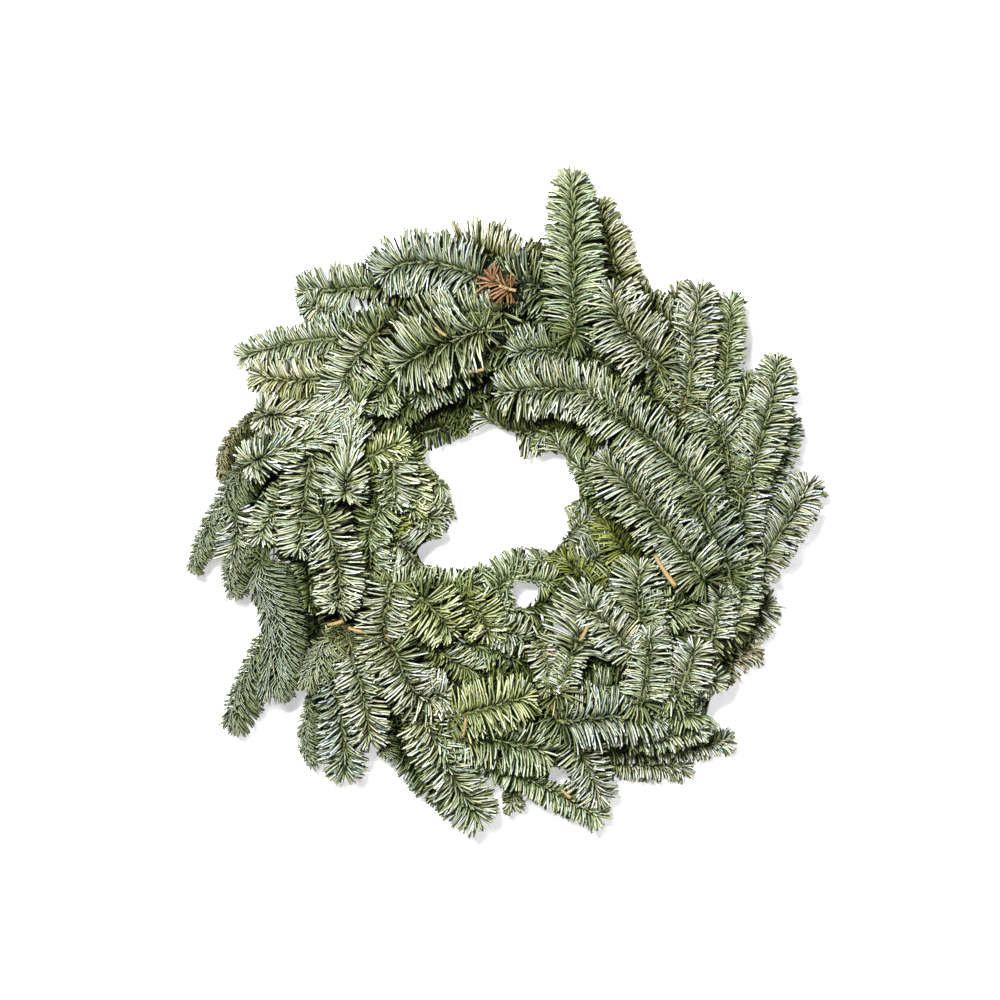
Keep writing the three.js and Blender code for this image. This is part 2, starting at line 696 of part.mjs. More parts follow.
function bindingGeometry() {
  const corners = [];
  const faces = [];
  const steps = BINDING_TURNS * TURN_STEPS;
  for (let i = 0; i < steps; i += 1) {
    const direction = unit(minus(windingPoint(i + 1), windingPoint(i - 1)));
    const side = 2 * Math.PI * i / TURN_STEPS;
    const angle = side / BINDING_TURNS;
    const away = minus(besideRing(angle, side, 1), besideRing(angle, side, 0));
    const across = unit(cross(direction, away));
    const up = cross(across, direction);
    for (let j = 0; j < 3; j += 1) {
      const a = 2 * Math.PI * (j + 0.5) / 3;
      const spoke = plus(times(across, Math.cos(a)), times(up, Math.sin(a)));
      corners.push(plus(windingPoint(i), times(spoke, BINDING_WIRE / 2)));
      const next = ((i + 1) % steps) * 3;
      const p = i * 3 + j;
      const q = i * 3 + (j + 1) % 3;
      faces.push([p, next + (j + 1) % 3, q], [p, next + j, next + (j + 1) % 3]);
    }
  }
  return meshOf(corners, faces);
}

addPiece('wire_ring', ringGeometry(), { color: 0x4c5149, roughness: 0.55, metalness: 0.8 });
addPiece('binding_wire', bindingGeometry(), { color: 0x3f5a3c, roughness: 0.5, metalness: 0.3 });

const ringLine = [];
for (let i = 0; i <= RING_STEPS; i += 1) ringLine.push(besideRing(2 * Math.PI * i / RING_STEPS, 0, 0));
const windingLine = [];
for (let i = 0; i <= BINDING_TURNS * TURN_STEPS; i += 1) windingLine.push(windingPoint(i));
const frameworkPieces = [
  ...piecesOf(ringLine, RING_WIRE / 2, 'wire_ring'),
  ...piecesOf(windingLine, BINDING_WIRE / 2, 'binding_wire'),
];

// ---------------------------------------------------------------- cuttings

const underground = solidOf(new THREE.BoxGeometry(600, 600, 20).translate(0, 0, -10));

const plants = CUTTINGS.map(({ tone, shoots }, i) => (
  { name: `cutting_${String(i + 1).padStart(2, '0')}`, tone, shoots }
));

// The back: low cuttings at even angles, three of them with a stem that touches the surface.
const polar = (radius, angle, z) => [radius * Math.cos(angle), radius * Math.sin(angle), z];
const BACK_START = 0.2;                                   // angle of the first, in radians
const BACK_SWEEP = [[148, 0], [162, 0.2], [176, 0.42]];   // distance from the middle, and angle
const BACK_HEIGHTS = [12, 10, 14];
const RESTING_HEIGHTS = [0.9, 2.4, 13];
for (let k = 0; k < BACK_CUTTINGS; k += 1) {
  const resting = RESTING.includes(k);
  const angle = 2 * Math.PI * k / BACK_CUTTINGS + BACK_START;
  const heights = resting ? RESTING_HEIGHTS : BACK_HEIGHTS;
  const points = BACK_SWEEP.map(([r, a], i) => polar(r, angle + a, heights[i]));
  const shoots = [{ points, reach: BACK_REACH, layer: 0, resting }];
  plants.push({ name: `back_cutting_${k + 1}`, tone: 'dark', shoots });
}

// Seats all the cuttings. One that finds no seat goes to the front of the queue, and all start again.
function seatAll() {
  let queue = plants.filter(({ shoots }) => shoots[0].resting);
  queue = queue.concat(plants.filter((plant) => !queue.includes(plant)));
  for (let attempt = 0; attempt < SEAT_ATTEMPTS; attempt += 1) {
    cells.clear();
    frameworkPieces.forEach((piece) => place({ ...piece, hard: true }));
    const failed = queue.find((plant) => {
      plant.limbs = growCutting(plant.name, plant.shoots);
      return !plant.limbs;
    });
    if (!failed) return;
    queue = [failed].concat(queue.filter((plant) => plant !== failed));
  }
  throw new Error('the cuttings do not all find a seat');
}

seatAll();

for (const { name, tone, limbs } of plants) {
  let solid = null;
  limbs.forEach((limb, i) => {
    const grown = solidOf(limbMesh(limb, name, `${name}/${i}`));
    solid = solid ? solid.add(grown) : grown;
  });
  if (solid.boundingBox().min[2] < 0) solid = solid.subtract(underground);
  addPiece(name, geometryOf(solid), { color: TONES[tone], roughness: 0.75, metalness: 0 });
}

// The ring's middle moves a little, so that the outline's middle is over the origin.
const middle = new THREE.Box3().setFromObject(wreath).getCenter(new THREE.Vector3());
wreath.position.set(-middle.x, -middle.y, 0);

export default wreath;
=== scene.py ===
"""A fresh evergreen wreath of noble fir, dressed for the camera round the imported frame.

Every cutting of the frame gets a finer piece on the same stem and shoots, with all of its needles.
Lengths are in millimetres until a mesh is made, and pixels are those of the face picture.
"""

import json
import math

import bpy
import numpy as np
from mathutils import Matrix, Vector


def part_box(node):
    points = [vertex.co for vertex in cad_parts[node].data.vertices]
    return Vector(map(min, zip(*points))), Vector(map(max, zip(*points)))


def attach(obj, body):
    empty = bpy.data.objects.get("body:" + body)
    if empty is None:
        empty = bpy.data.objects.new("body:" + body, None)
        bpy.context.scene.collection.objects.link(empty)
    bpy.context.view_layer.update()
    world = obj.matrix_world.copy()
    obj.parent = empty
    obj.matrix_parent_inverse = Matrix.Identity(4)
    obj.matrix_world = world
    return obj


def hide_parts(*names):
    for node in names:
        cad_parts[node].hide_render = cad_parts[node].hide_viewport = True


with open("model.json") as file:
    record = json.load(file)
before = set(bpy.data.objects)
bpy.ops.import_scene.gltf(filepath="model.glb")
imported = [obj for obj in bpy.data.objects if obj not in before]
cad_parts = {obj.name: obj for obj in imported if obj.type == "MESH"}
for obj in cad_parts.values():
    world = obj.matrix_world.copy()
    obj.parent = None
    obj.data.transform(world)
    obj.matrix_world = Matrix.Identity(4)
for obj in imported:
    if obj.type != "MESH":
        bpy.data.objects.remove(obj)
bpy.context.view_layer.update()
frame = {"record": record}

# ---------------------------------------------------------------- driving dimensions

WREATH_HEIGHT = 485.0               # highest tip to lowest tip of the face, as it hangs
FACE_PIXELS = 674.0                 # the same span in the picture that the shoots were traced from
FACE_MIDDLE = (500.0, 500.0)        # the ring's middle in that picture
RING_DIAMETER = 254.0
RING_WIRE = 3.2
RING_HEIGHT = 25.0
BINDING_WIRE = 1.0
BINDING_TURNS = 24
STEM_RADIUS = 1.7
SIDE_RADIUS = 1.4
TIP_RADIUS = 1.0
HOLE = {"x": 7.0, "y": -2.0, "width": 66.0, "height": 56.0}
BACK_CUTTINGS = 7
BACK_REACH = 30.0
RESTING = (0, 2, 5)

MM = 0.001
MM_PER_PIXEL = WREATH_HEIGHT / FACE_PIXELS
RING_RADIUS = RING_DIAMETER / 2
BOUND_LENGTH = 16.0
SEAT_GAP = 0.4
STEM_SEAT = RING_WIRE / 2 + SEAT_GAP + STEM_RADIUS
TURN_STEPS = 9
WINDING_FLAT = 0.4
WINDING_RADIUS = STEM_SEAT + STEM_RADIUS + SEAT_GAP + BINDING_WIRE / 2 + WINDING_FLAT

FLOOR_HEIGHT = 15.0
RIM_HEIGHT = 32.0
DOME_RISE = 40.0
DOME_RADIUS = 140.0
DOME_HALF_WIDTH = 100.0
LAYERS = 5

BUD_DEPTH = 11.0
LOWEST_NEEDLE = 0.8

# ---------------------------------------------------------------- the shoots, as traced


def shoot(tone, start, by, to, reach, layer, **more):
    """Where a shoot comes out, a point on its bend and its tip, its needles' reach, and its layer.

    More may be: lean, the angle between its needles and itself; taper, how much they shorten
    towards its tip; star, when its end needles spread out all round; rope, when they wrap round
    it; squeeze, a scale for their reach; late, the share of it that has only short needles; sided,
    how much shorter they are on one side; fullness, a scale for their number; and upright, which
    takes the place of UPPER_SHARE.
    """
    return {"tone": tone, "points": (start, by, to), "reach": reach, "layer": layer, **more}


CUTTINGS = [
    [shoot("pale", (702, 576), (650, 512), (598, 453), 31, 5)],
    [shoot("pale", (702, 492), (650, 440), (580, 394), 34, 5)],
    [shoot("blue", (728, 570), (700, 515), (672, 466), 34, 4)],
    [shoot("green", (574, 330), (573, 250), (572, 164), 30, 5, taper=0.26, squeeze=1.06),
     shoot("yel", (632, 318), (615, 262), (594, 196), 30, 2, squeeze=0.84)],
    [shoot("white", (655, 362), (622, 325), (608, 280), 36, 5),
     shoot("olive", (640, 378), (600, 350), (566, 326), 16, 3)],
    [shoot("pale", (480, 332), (440, 347), (390, 371), 40, 5, upright=0.92),
     shoot("pale", (500, 312), (450, 318), (400, 340), 34, 4)],
    [shoot("pale", (610, 398), (555, 389), (492, 394), 31, 5),
     shoot("blue", (625, 372), (565, 352), (505, 352), 30, 3)],
    [shoot("pale", (350, 425), (300, 442), (250, 463), 28, 5, star=True, lean=138, squeeze=0.66),
     shoot("rope", (266, 450), (222, 512), (186, 580), 20, 3, rope=True, taper=0.4)],
    [shoot("pale", (358, 405), (350, 455), (345, 495), 28, 5, star=True, lean=142, squeeze=0.62,
           late=0.34),
     shoot("green", (360, 440), (368, 475), (372, 500), 20, 2)],
    [shoot("pale", (325, 520), (338, 560), (341, 604), 28, 5, star=True),
     shoot("dark", (340, 585), (320, 615), (310, 650), 24, 1)],
    [shoot("yelgreen", (425, 600), (442, 620), (458, 640), 32, 5),
     shoot("yelgreen", (470, 600), (484, 622), (490, 645), 28, 4)],
    [shoot("white", (392, 585), (382, 635), (384, 680), 29, 4),
     shoot("white", (398, 655), (413, 688), (442, 704), 30, 5, star=True)],
    [shoot("green", (430, 733), (500, 741), (556, 754), 32, 4),
     shoot("yelgreen", (455, 715), (500, 703), (537, 692), 30, 5)],
    [shoot("pale", (642, 648), (638, 605), (640, 556), 32, 4),
     shoot("white", (632, 652), (610, 628), (590, 606), 24, 5, star=True)],
    [shoot("white", (680, 690), (690, 662), (697, 636), 27, 5),
     shoot("gray", (700, 620), (707, 585), (714, 556), 24, 3)],
    [shoot("pale", (645, 690), (690, 677), (726, 684), 22, 4),
     shoot("pale", (643, 700), (647, 668), (650, 636), 24, 5, star=True)],
    [shoot("blue", (478, 277), (425, 262), (372, 276), 36, 4, squeeze=0.92),
     shoot("side", (450, 283), (372, 286), (292, 291), 26, 2)],
    [shoot("blue", (535, 352), (485, 345), (440, 358), 27, 3),
     shoot("blue", (470, 358), (440, 378), (408, 402), 27, 4)],
    [shoot("blue", (400, 325), (350, 338), (300, 338), 32, 2),
     shoot("pale", (370, 340), (346, 380), (338, 426), 28, 4)],
    [shoot("white", (345, 408), (305, 416), (262, 416), 27, 4, star=True, lean=136, squeeze=0.7),
     shoot("brown", (304, 398), (244, 428), (215, 481), 20, 2, rope=True, squeeze=0.6)],
    [shoot("pale", (312, 450), (304, 510), (299, 560), 28, 4)],
    [shoot("green", (382, 505), (370, 530), (363, 552), 25, 4),
     shoot("pale", (392, 500), (425, 515), (450, 522), 22, 3, star=True),
     shoot("olive", (385, 515), (390, 535), (396, 554), 22, 3, star=True)],
    [shoot("pale", (392, 455), (394, 485), (393, 515), 26, 4),
     shoot("yelgreen", (410, 460), (414, 490), (409, 520), 22, 3)],
    [shoot("yelgreen", (372, 455), (392, 446), (411, 439), 20, 4),
     shoot("green", (398, 455), (415, 470), (431, 482), 18, 3)],
    [shoot("white", (688, 390), (694, 335), (702, 279), 25, 4),
     shoot("yel", (720, 352), (690, 312), (668, 286), 24, 2),
     shoot("green", (722, 400), (730, 345), (733, 289), 20, 3, squeeze=0.85)],
    [shoot("gray", (735, 545), (748, 485), (758, 430), 26, 3),
     shoot("pale", (752, 468), (770, 408), (781, 349), 28, 4, taper=0.2)],
    [shoot("gray", (742, 590), (784, 530), (817, 475), 27, 3, squeeze=0.88),
     shoot("blue", (745, 520), (772, 460), (792, 412), 25, 2)],
    [shoot("pale", (735, 620), (742, 580), (748, 548), 23, 4),
     shoot("white", (712, 640), (718, 610), (722, 582), 23, 4)],
    [shoot("white", (690, 672), (735, 630), (778, 596), 28, 3, squeeze=1.08),
     shoot("brown", (700, 692), (730, 664), (764, 643), 18, 1, squeeze=1.15)],
    [shoot("pale", (560, 690), (577, 640), (594, 584), 40, 4, late=0.36),
     shoot("dark", (560, 655), (590, 668), (618, 662), 24, 1),
     shoot("white", (540, 640), (547, 668), (551, 698), 17, 4)],
    [shoot("gray", (600, 751), (670, 751), (740, 744), 16, 3),
     shoot("pale", (640, 740), (680, 735), (712, 727), 17, 3)],
    [shoot("blue", (565, 722), (620, 716), (670, 715), 31, 4),
     shoot("gray", (568, 722), (588, 770), (603, 808), 25, 3),
     shoot("white", (575, 700), (590, 690), (601, 684), 15, 3)],
    [shoot("white", (352, 650), (364, 700), (371, 750), 25, 4)],
    [shoot("blue", (332, 655), (341, 720), (344, 785), 26, 4),
     shoot("rope", (322, 690), (309, 730), (311, 772), 16, 2, rope=True, squeeze=0.9),
     shoot("pale", (336, 640), (322, 665), (302, 690), 19, 4, rope=True)],
    [shoot("pale", (425, 715), (450, 772), (484, 828), 30, 4),
     shoot("olive", (455, 690), (440, 712), (432, 735), 18, 2)],
    [shoot("green", (620, 508), (595, 482), (569, 457), 17, 4),
     shoot("olive", (630, 548), (600, 522), (568, 512), 21, 2)],
    [shoot("side", (345, 338), (290, 343), (233, 359), 22, 3, squeeze=0.85),
     shoot("yel", (345, 372), (295, 380), (247, 372), 22, 3),
     shoot("dark", (350, 330), (370, 322), (396, 314), 24, 1)],
    [shoot("green", (410, 365), (385, 388), (371, 416), 28, 3)],
    [shoot("blue", (600, 335), (545, 290), (490, 284), 34, 3),
     shoot("yel", (560, 300), (500, 258), (440, 252), 36, 2)],
    [shoot("pale", (725, 440), (695, 395), (655, 362), 28, 3),
     shoot("blue", (740, 490), (722, 440), (705, 400), 26, 3)],
    [shoot("olive", (602, 604), (578, 574), (557, 548), 21, 3),
     shoot("olive", (655, 592), (625, 552), (602, 515), 24, 3),
     shoot("green", (556, 592), (545, 572), (533, 553), 15, 2)],
    [shoot("green", (476, 640), (500, 588), (527, 552), 24, 3)],
    [shoot("green", (385, 592), (435, 589), (485, 583), 25, 3),
     shoot("yelgreen", (398, 600), (425, 632), (443, 664), 27, 3)],
    [shoot("blue", (262, 560), (286, 625), (278, 700), 34, 3, lean=54, rope=True, squeeze=0.88,
           sided=0.32),
     shoot("rope", (272, 640), (248, 690), (229, 737), 17, 2, rope=True, squeeze=1.25)],
    [shoot("blue", (385, 720), (420, 770), (458, 812), 22, 3),
     shoot("rope", (372, 700), (384, 735), (392, 763), 16, 2, rope=True)],
    [shoot("green", (490, 762), (548, 790), (608, 824), 19, 3),
     shoot("gray", (526, 765), (514, 795), (510, 820), 12, 1)],
    [shoot("gray", (575, 757), (638, 767), (697, 772), 18, 2),
     shoot("dark", (590, 745), (580, 752), (565, 770), 16, 2)],
    [shoot("pale", (290, 490), (268, 520), (254, 546), 20, 3),
     shoot("rope", (272, 520), (240, 560), (232, 601), 18, 2, rope=True)],
    [shoot("yelgreen", (610, 432), (565, 430), (530, 448), 21, 2)],
    [shoot("dark", (525, 385), (485, 375), (458, 398), 22, 2),
     shoot("dark", (510, 400), (475, 414), (446, 428), 18, 1)],
]

# ---------------------------------------------------------------- points and curves


def unit(a):
    return a / np.linalg.norm(a, axis=-1, keepdims=True)


def shoot_height(distance, layer):
    across = min(1.0, abs(distance - DOME_RADIUS) / DOME_HALF_WIDTH)
    front = RIM_HEIGHT + DOME_RISE * (1 - across * across)
    return FLOOR_HEIGHT + (front - FLOOR_HEIGHT) * layer / LAYERS


def face_xy(column, row):
    return (column - FACE_MIDDLE[0]) * MM_PER_PIXEL, (FACE_MIDDLE[1] - row) * MM_PER_PIXEL


def face_point(pixel, layer, lift):
    x, y = face_xy(*pixel)
    return np.array([x, y, shoot_height(math.hypot(x, y), layer) + lift])


def bend(points, steps):
    """The bent line through three points."""
    t = np.linspace(0, 1, steps + 1)[:, None]
    start, by, to = points
    return start * (1 - t) * (1 - 2 * t) + by * 4 * t * (1 - t) + to * t * (2 * t - 1)


def sweep(start, leaving, to, arriving, steps):
    """The inner points of a smooth run from one point to another, with its direction at both."""
    t = (np.arange(1, steps) / steps)[:, None]
    ends = start * (2 * t ** 3 - 3 * t ** 2 + 1) + to * (3 * t ** 2 - 2 * t ** 3)
    return ends + leaving * (t ** 3 - 2 * t ** 2 + t) + arriving * (t ** 3 - t ** 2)


def beside_ring(angle, side, distance):
    """A point beside the ring's wire: side turns round the wire from straight outwards."""
    out = RING_RADIUS + distance * math.cos(side)
    height = RING_HEIGHT + distance * math.sin(side)
    return np.array([out * math.cos(angle), out * math.sin(angle), height])


def winding_point(i, steps=TURN_STEPS):
    side = 2 * math.pi * i / steps
    return beside_ring(side / BINDING_TURNS, side, WINDING_RADIUS)


# ---------------------------------------------------------------- seats, found as the frame's are

SIDES = (90, 28, 152, -34, 214)
LOW_SIDES = (-34, 28, 214, 90, 152)
LEADS = (11, 14, 8, 17, 20, 24, 28, 33, 39, 5)
BOWS = (1, 0.7, 1.4)
LIFTS = (0, 3, -3, 6, -6, 9, -9, 12, -12, 15, -15, 18, -18, 22, -22)
LOW_LAYER = 2
STEM_FLARE = 0.45
STEM_ARRIVAL = 0.8
BRANCH_DEPARTURE = 0.5
BRANCH_ARRIVAL = 0.6
SHOOT_STEPS = 8
RUN_STEPS = 4
BRANCH_STEPS = 3
FINER = 5                           # steps of the dressed lines for each step of the frame's
LOWEST_LINE = 6.0
LINE_ROOM = 0.45
HARD_ROOM = 0.15
FAR_ROOM = 5.0                      # more than any two pieces need between their centrelines
HOLE_ROOM = 2.0
LOWEST_REST = 0.2
SEAT_ATTEMPTS = 60
BRANCH_BACKS = (2, 1, 3, 0, 4, 5)
BRANCH_ENDS = (4, 3)                # points at each end of a stem that are not looked at for a branch
FIRST_BRANCH = 3
SHORTEST_BRANCH = 4.0
WIRE_MARGIN = 2                     # least bound stem on each side of the wire
PARALLEL = 1e-9
RING_STEPS = 60


def shoot_line(plant, lift, steps=SHOOT_STEPS):
    start, by, to = (
        face_point(p, plant["layer"], lift) if len(p) == 2 else np.array(p) + (0, 0, lift)
        for p in plant["points"]
    )
    return bend((start, by, to + unit(by - to) * BUD_DEPTH), steps)


def is_bound(start, side):
    """True when the binding wire passes over this side of the ring inside the bound stretch."""
    pitch = 2 * math.pi / BINDING_TURNS
    middle = start + BOUND_LENGTH / 2 / RING_RADIUS
    turn = math.floor((middle - side / BINDING_TURNS) / pitch + 0.5)
    passes = turn * pitch + side / BINDING_TURNS
    return abs(passes - middle) * RING_RADIUS < BOUND_LENGTH / 2 - WIRE_MARGIN


def stem_line(shoot_points, side, lead, bow, finer=1):
    """Along the ring where the stem is bound, then out between two turns and up to the shoot."""
    first, second = shoot_points[0], shoot_points[1]
    start = math.atan2(first[1], first[0]) - math.radians(lead)
    if not is_bound(start, side):
        return None
    bound = [
        beside_ring(start + t * BOUND_LENGTH / RING_RADIUS, side, STEM_SEAT)
        for t in np.linspace(0, 1, 2 * finer + 1)
    ]
    last = bound[-1]
    angle = math.atan2(last[1], last[0])
    along = np.array([-math.sin(angle), math.cos(angle), 0])
    away = beside_ring(angle, side, 1) - beside_ring(angle, side, 0)
    distance = np.linalg.norm(first - last)
    leaving = (along + away * STEM_FLARE) * distance * bow
    arriving = unit(second - first) * distance * bow * STEM_ARRIVAL
    return np.vstack([bound, sweep(last, leaving, first, arriving, RUN_STEPS * finer)])


def branch_line(parent, shoot_points, back, finer=1):
    """A side shoot's run from the stem to where its needles start."""
    start = shoot_points[0]
    ahead = range(BRANCH_ENDS[0], len(parent) - BRANCH_ENDS[1])
    closest = min(ahead, key=lambda i: np.linalg.norm(parent[i] - start))
    i = max(FIRST_BRANCH, closest - back)
    origin, after = parent[i], parent[i + 1]
    distance = max(SHORTEST_BRANCH, np.linalg.norm(start - origin))
    leaving = (unit(after - origin) + unit(start - origin)) * distance * BRANCH_DEPARTURE
    arriving = unit(shoot_points[1] - start) * distance * BRANCH_ARRIVAL
    return np.vstack([[origin], sweep(origin, leaving, start, arriving, BRANCH_STEPS * finer)])


class Placed:
    """The straight stretches of the round pieces already placed, each with the room that it needs."""

    def __init__(self):
        self.start = np.zeros((0, 3))
        self.end = np.zeros((0, 3))
        self.room = np.zeros(0)

    def add(self, line, radius, room):
        self.start = np.vstack([self.start, line[:-1]])
        self.end = np.vstack([self.end, line[1:]])
        self.room = np.concatenate([self.room, np.full(len(line) - 1, radius + room)])

    def clear_of(self, line, radius):
        low, high = line.min(0) - FAR_ROOM, line.max(0) + FAR_ROOM
        near = (np.maximum(self.start, self.end) >= low).all(1)
        near &= (np.minimum(self.start, self.end) <= high).all(1)
        if not near.any():
            return True
        a0, a = line[:-1, None], line[1:, None] - line[:-1, None]
        b0, b = self.start[near][None], (self.end - self.start)[near][None]
        between = a0 - b0
        aa = (a * a).sum(-1)
        bb = (b * b).sum(-1)
        ab = (a * b).sum(-1)
        ra = (a * between).sum(-1)
        rb = (b * between).sum(-1)
        spread = aa * bb - ab * ab
        safe = np.where(spread > PARALLEL, spread, 1)
        s = np.where(spread > PARALLEL, np.clip((ab * rb - bb * ra) / safe, 0, 1), 0)
        t = (ab * s + rb) / bb
        s = np.where(t < 0, np.clip(-ra / aa, 0, 1), np.where(t > 1, np.clip((ab - ra) / aa, 0, 1), s))
        t = np.clip(t, 0, 1)
        apart = np.linalg.norm(between + a * s[..., None] - b * t[..., None], axis=-1)
        return bool((apart >= radius + self.room[near][None]).all())


def keeps_hole(line):
    x = np.abs(line[:, 0] - HOLE["x"]) > HOLE["width"] / 2 + HOLE_ROOM
    y = np.abs(line[:, 1] - HOLE["y"]) > HOLE["height"] / 2 + HOLE_ROOM
    return bool((x | y).all())


def seat_main(main, placed):
    sides = LOW_SIDES if main["layer"] <= LOW_LAYER else SIDES
    resting = main.get("resting", False)
    lowest = LOWEST_REST if resting else LOWEST_LINE
    for lift in (0,) if resting else LIFTS:
        points = shoot_line(main, lift)
        if points[:, 2].min() < lowest or not keeps_hole(points):
            continue
        if not placed.clear_of(points, STEM_RADIUS):
            continue
        for bow in BOWS:
            for side in sides:
                for lead in LEADS:
                    stem = stem_line(points, math.radians(side), lead, bow)
                    if stem is None or stem[:, 2].min() < lowest or not keeps_hole(stem):
                        continue
                    line = np.vstack([stem, points])
                    if placed.clear_of(line[:len(stem) + 1], STEM_RADIUS):
                        fine = stem_line(points, math.radians(side), lead, bow, FINER)
                        return line, fine, shoot_line(main, lift, SHOOT_STEPS * FINER)
    return None


def seat_branch(side_shoot, parent, placed):
    for lift in LIFTS:
        points = shoot_line(side_shoot, lift)
        for back in BRANCH_BACKS:
            run = branch_line(parent, points, back)
            line = np.vstack([run, points])
            if line[:, 2].min() < LOWEST_LINE or not keeps_hole(line):
                continue
            if placed.clear_of(line, SIDE_RADIUS):
                fine = branch_line(parent, points, back, FINER)
                return line, fine, shoot_line(side_shoot, lift, SHOOT_STEPS * FINER)
    return None


def grow_cutting(shoots, placed):
    """The limbs of one cutting, or None. Each is its bare run, leafy line, radius and traced shoot."""
    seat = seat_main(shoots[0], placed)
    if seat is None:
        return None
    parent = seat[0]
    limbs = [(parent, seat[1], seat[2], STEM_RADIUS, shoots[0])]
    for other in shoots[1:]:
        seat = seat_branch(other, parent, placed)
        if seat is None:
            return None
        limbs.append((seat[0], seat[1], seat[2], SIDE_RADIUS, other))
    for coarse, _, _, radius, _ in limbs:
        placed.add(coarse, radius, LINE_ROOM)
    return [limb[1:] for limb in limbs]


BACK_START = 0.2
BACK_SWEEP = ((148, 0), (162, 0.2), (176, 0.42))
BACK_HEIGHTS = (12, 10, 14)
RESTING_HEIGHTS = (0.9, 2.4, 13)


def all_plants():
    plants = [(f"cutting_{i + 1:02d}", shoots) for i, shoots in enumerate(CUTTINGS)]
    for k in range(BACK_CUTTINGS):
        resting = k in RESTING
        angle = 2 * math.pi * k / BACK_CUTTINGS + BACK_START
        heights = RESTING_HEIGHTS if resting else BACK_HEIGHTS
        points = [
            (r * math.cos(angle + a), r * math.sin(angle + a), z)
            for (r, a), z in zip(BACK_SWEEP, heights)
        ]
        main = {"tone": "dark", "points": points, "reach": BACK_REACH, "layer": 0, "resting": resting}
        plants.append((f"back_cutting_{k + 1}", [main]))
    return plants


def seat_all():
    """One that finds no seat goes to the front of the queue, and all start again."""
    plants = all_plants()
    queue = [p for p in plants if p[1][0].get("resting")]
    queue += [p for p in plants if not p[1][0].get("resting")]
    ring = np.array([beside_ring(2 * math.pi * i / RING_STEPS, 0, 0) for i in range(RING_STEPS + 1)])
    winding = np.array([winding_point(i) for i in range(BINDING_TURNS * TURN_STEPS + 1)])
    for _ in range(SEAT_ATTEMPTS):
        placed = Placed()
        placed.add(ring, RING_WIRE / 2, HARD_ROOM)
        placed.add(winding, BINDING_WIRE / 2, HARD_ROOM)
        seats = {}
        for plant in queue:
            limbs = grow_cutting(plant[1], placed)
            if limbs is None:
                queue = [plant] + [p for p in queue if p is not plant]
                break
            seats[plant[0]] = limbs
        else:
            return seats
    raise RuntimeError("the cuttings do not all find a seat")


seats = seat_all()

# ---------------------------------------------------------------- open places, and twigs elsewhere

# Pixels round the open places of the face: the hole, three gaps among the shoots, and the deep
# notches of the outline.
OPEN_PLACES = (
    ((488, 422), (516, 436), (520, 461), (536, 458), (554, 449), (567, 460), (579, 488), (582, 497),
     (564, 507), (568, 529), (551, 551), (526, 545), (500, 553), (479, 558), (470, 571), (440, 568),
     (419, 563), (416, 546), (440, 540), (455, 522), (450, 487), (431, 468), (418, 460), (425, 453),
     (452, 444), (470, 434)),
    ((510, 586), (524, 580), (545, 589), (532, 601), (515, 611)),
    ((344, 303), (352, 297), (376, 296), (372, 304), (353, 309)),
    ((541, 776), (553, 770), (575, 774), (569, 790), (552, 783)),
    ((204, 590), (220, 540), (228, 542), (221, 575), (222, 600)),
    ((695, 702), (720, 695), (740, 700), (740, 728), (716, 724)),
    ((251, 705), (262, 712), (282, 712), (292, 720), (290, 745), (245, 745)),
    ((372, 756), (386, 764), (400, 776), (372, 776)),
    ((745, 330), (756, 352), (762, 345), (760, 330)),
)
GAPS = 3                            # places after the hole with foliage all round
# Pixels round the places where the twigs that fill gaps take the dark tone and lie lower.
DARK_PLACES = (
    ((344, 386), (366, 390), (364, 422), (348, 418)),
    ((290, 590), (330, 598), (345, 650), (318, 655), (292, 640)),
    ((560, 645), (600, 650), (622, 670), (606, 690), (572, 684)),
    ((720, 438), (738, 446), (734, 492), (720, 488)),
    ((360, 300), (402, 300), (396, 326), (364, 322)),
    ((380, 385), (470, 368), (500, 392), (470, 424), (430, 436), (385, 436)),
)
OPEN_INSETS = (0.2, 1.2, 2.6)       # how far into a place a needle may reach, for one in three each
SMALLEST_CORE = 0.5                 # share of a place's size that stays clear of needles
TRIM_STEPS = (1, 0.88, 0.76, 0.64, 0.52, 0.4)
LONGEST_NEEDLE = 40.0


def inside(points, polygon):
    """For each point, whether it lies inside the polygon."""
    x, y = points[:, 0], points[:, 1]
    found = np.zeros(len(points), bool)
    for (x0, y0), (x1, y1) in zip(polygon, np.roll(polygon, -1, axis=0)):
        crosses = (y0 > y) != (y1 > y)
        with np.errstate(divide="ignore", invalid="ignore"):
            at = x0 + (y - y0) * (x1 - x0) / (y1 - y0)
        found ^= crosses & (x < at)
    return found


def in_any(points, places):
    return np.any([inside(points, place) for place in places], axis=0)


def on_face(places):
    return [np.array([face_xy(*pixel) for pixel in place]) for place in places]


def shrink(place, inset):
    share = max(SMALLEST_CORE, 1 - 2 * inset / np.ptp(place, axis=0).min())
    middle = (place.min(0) + place.max(0)) / 2
    return middle + (place - middle) * share


open_places, dark_places = on_face(OPEN_PLACES), on_face(DARK_PLACES)
open_cores = [[shrink(place, inset) for place in open_places[:1 + GAPS]] for inset in OPEN_INSETS]


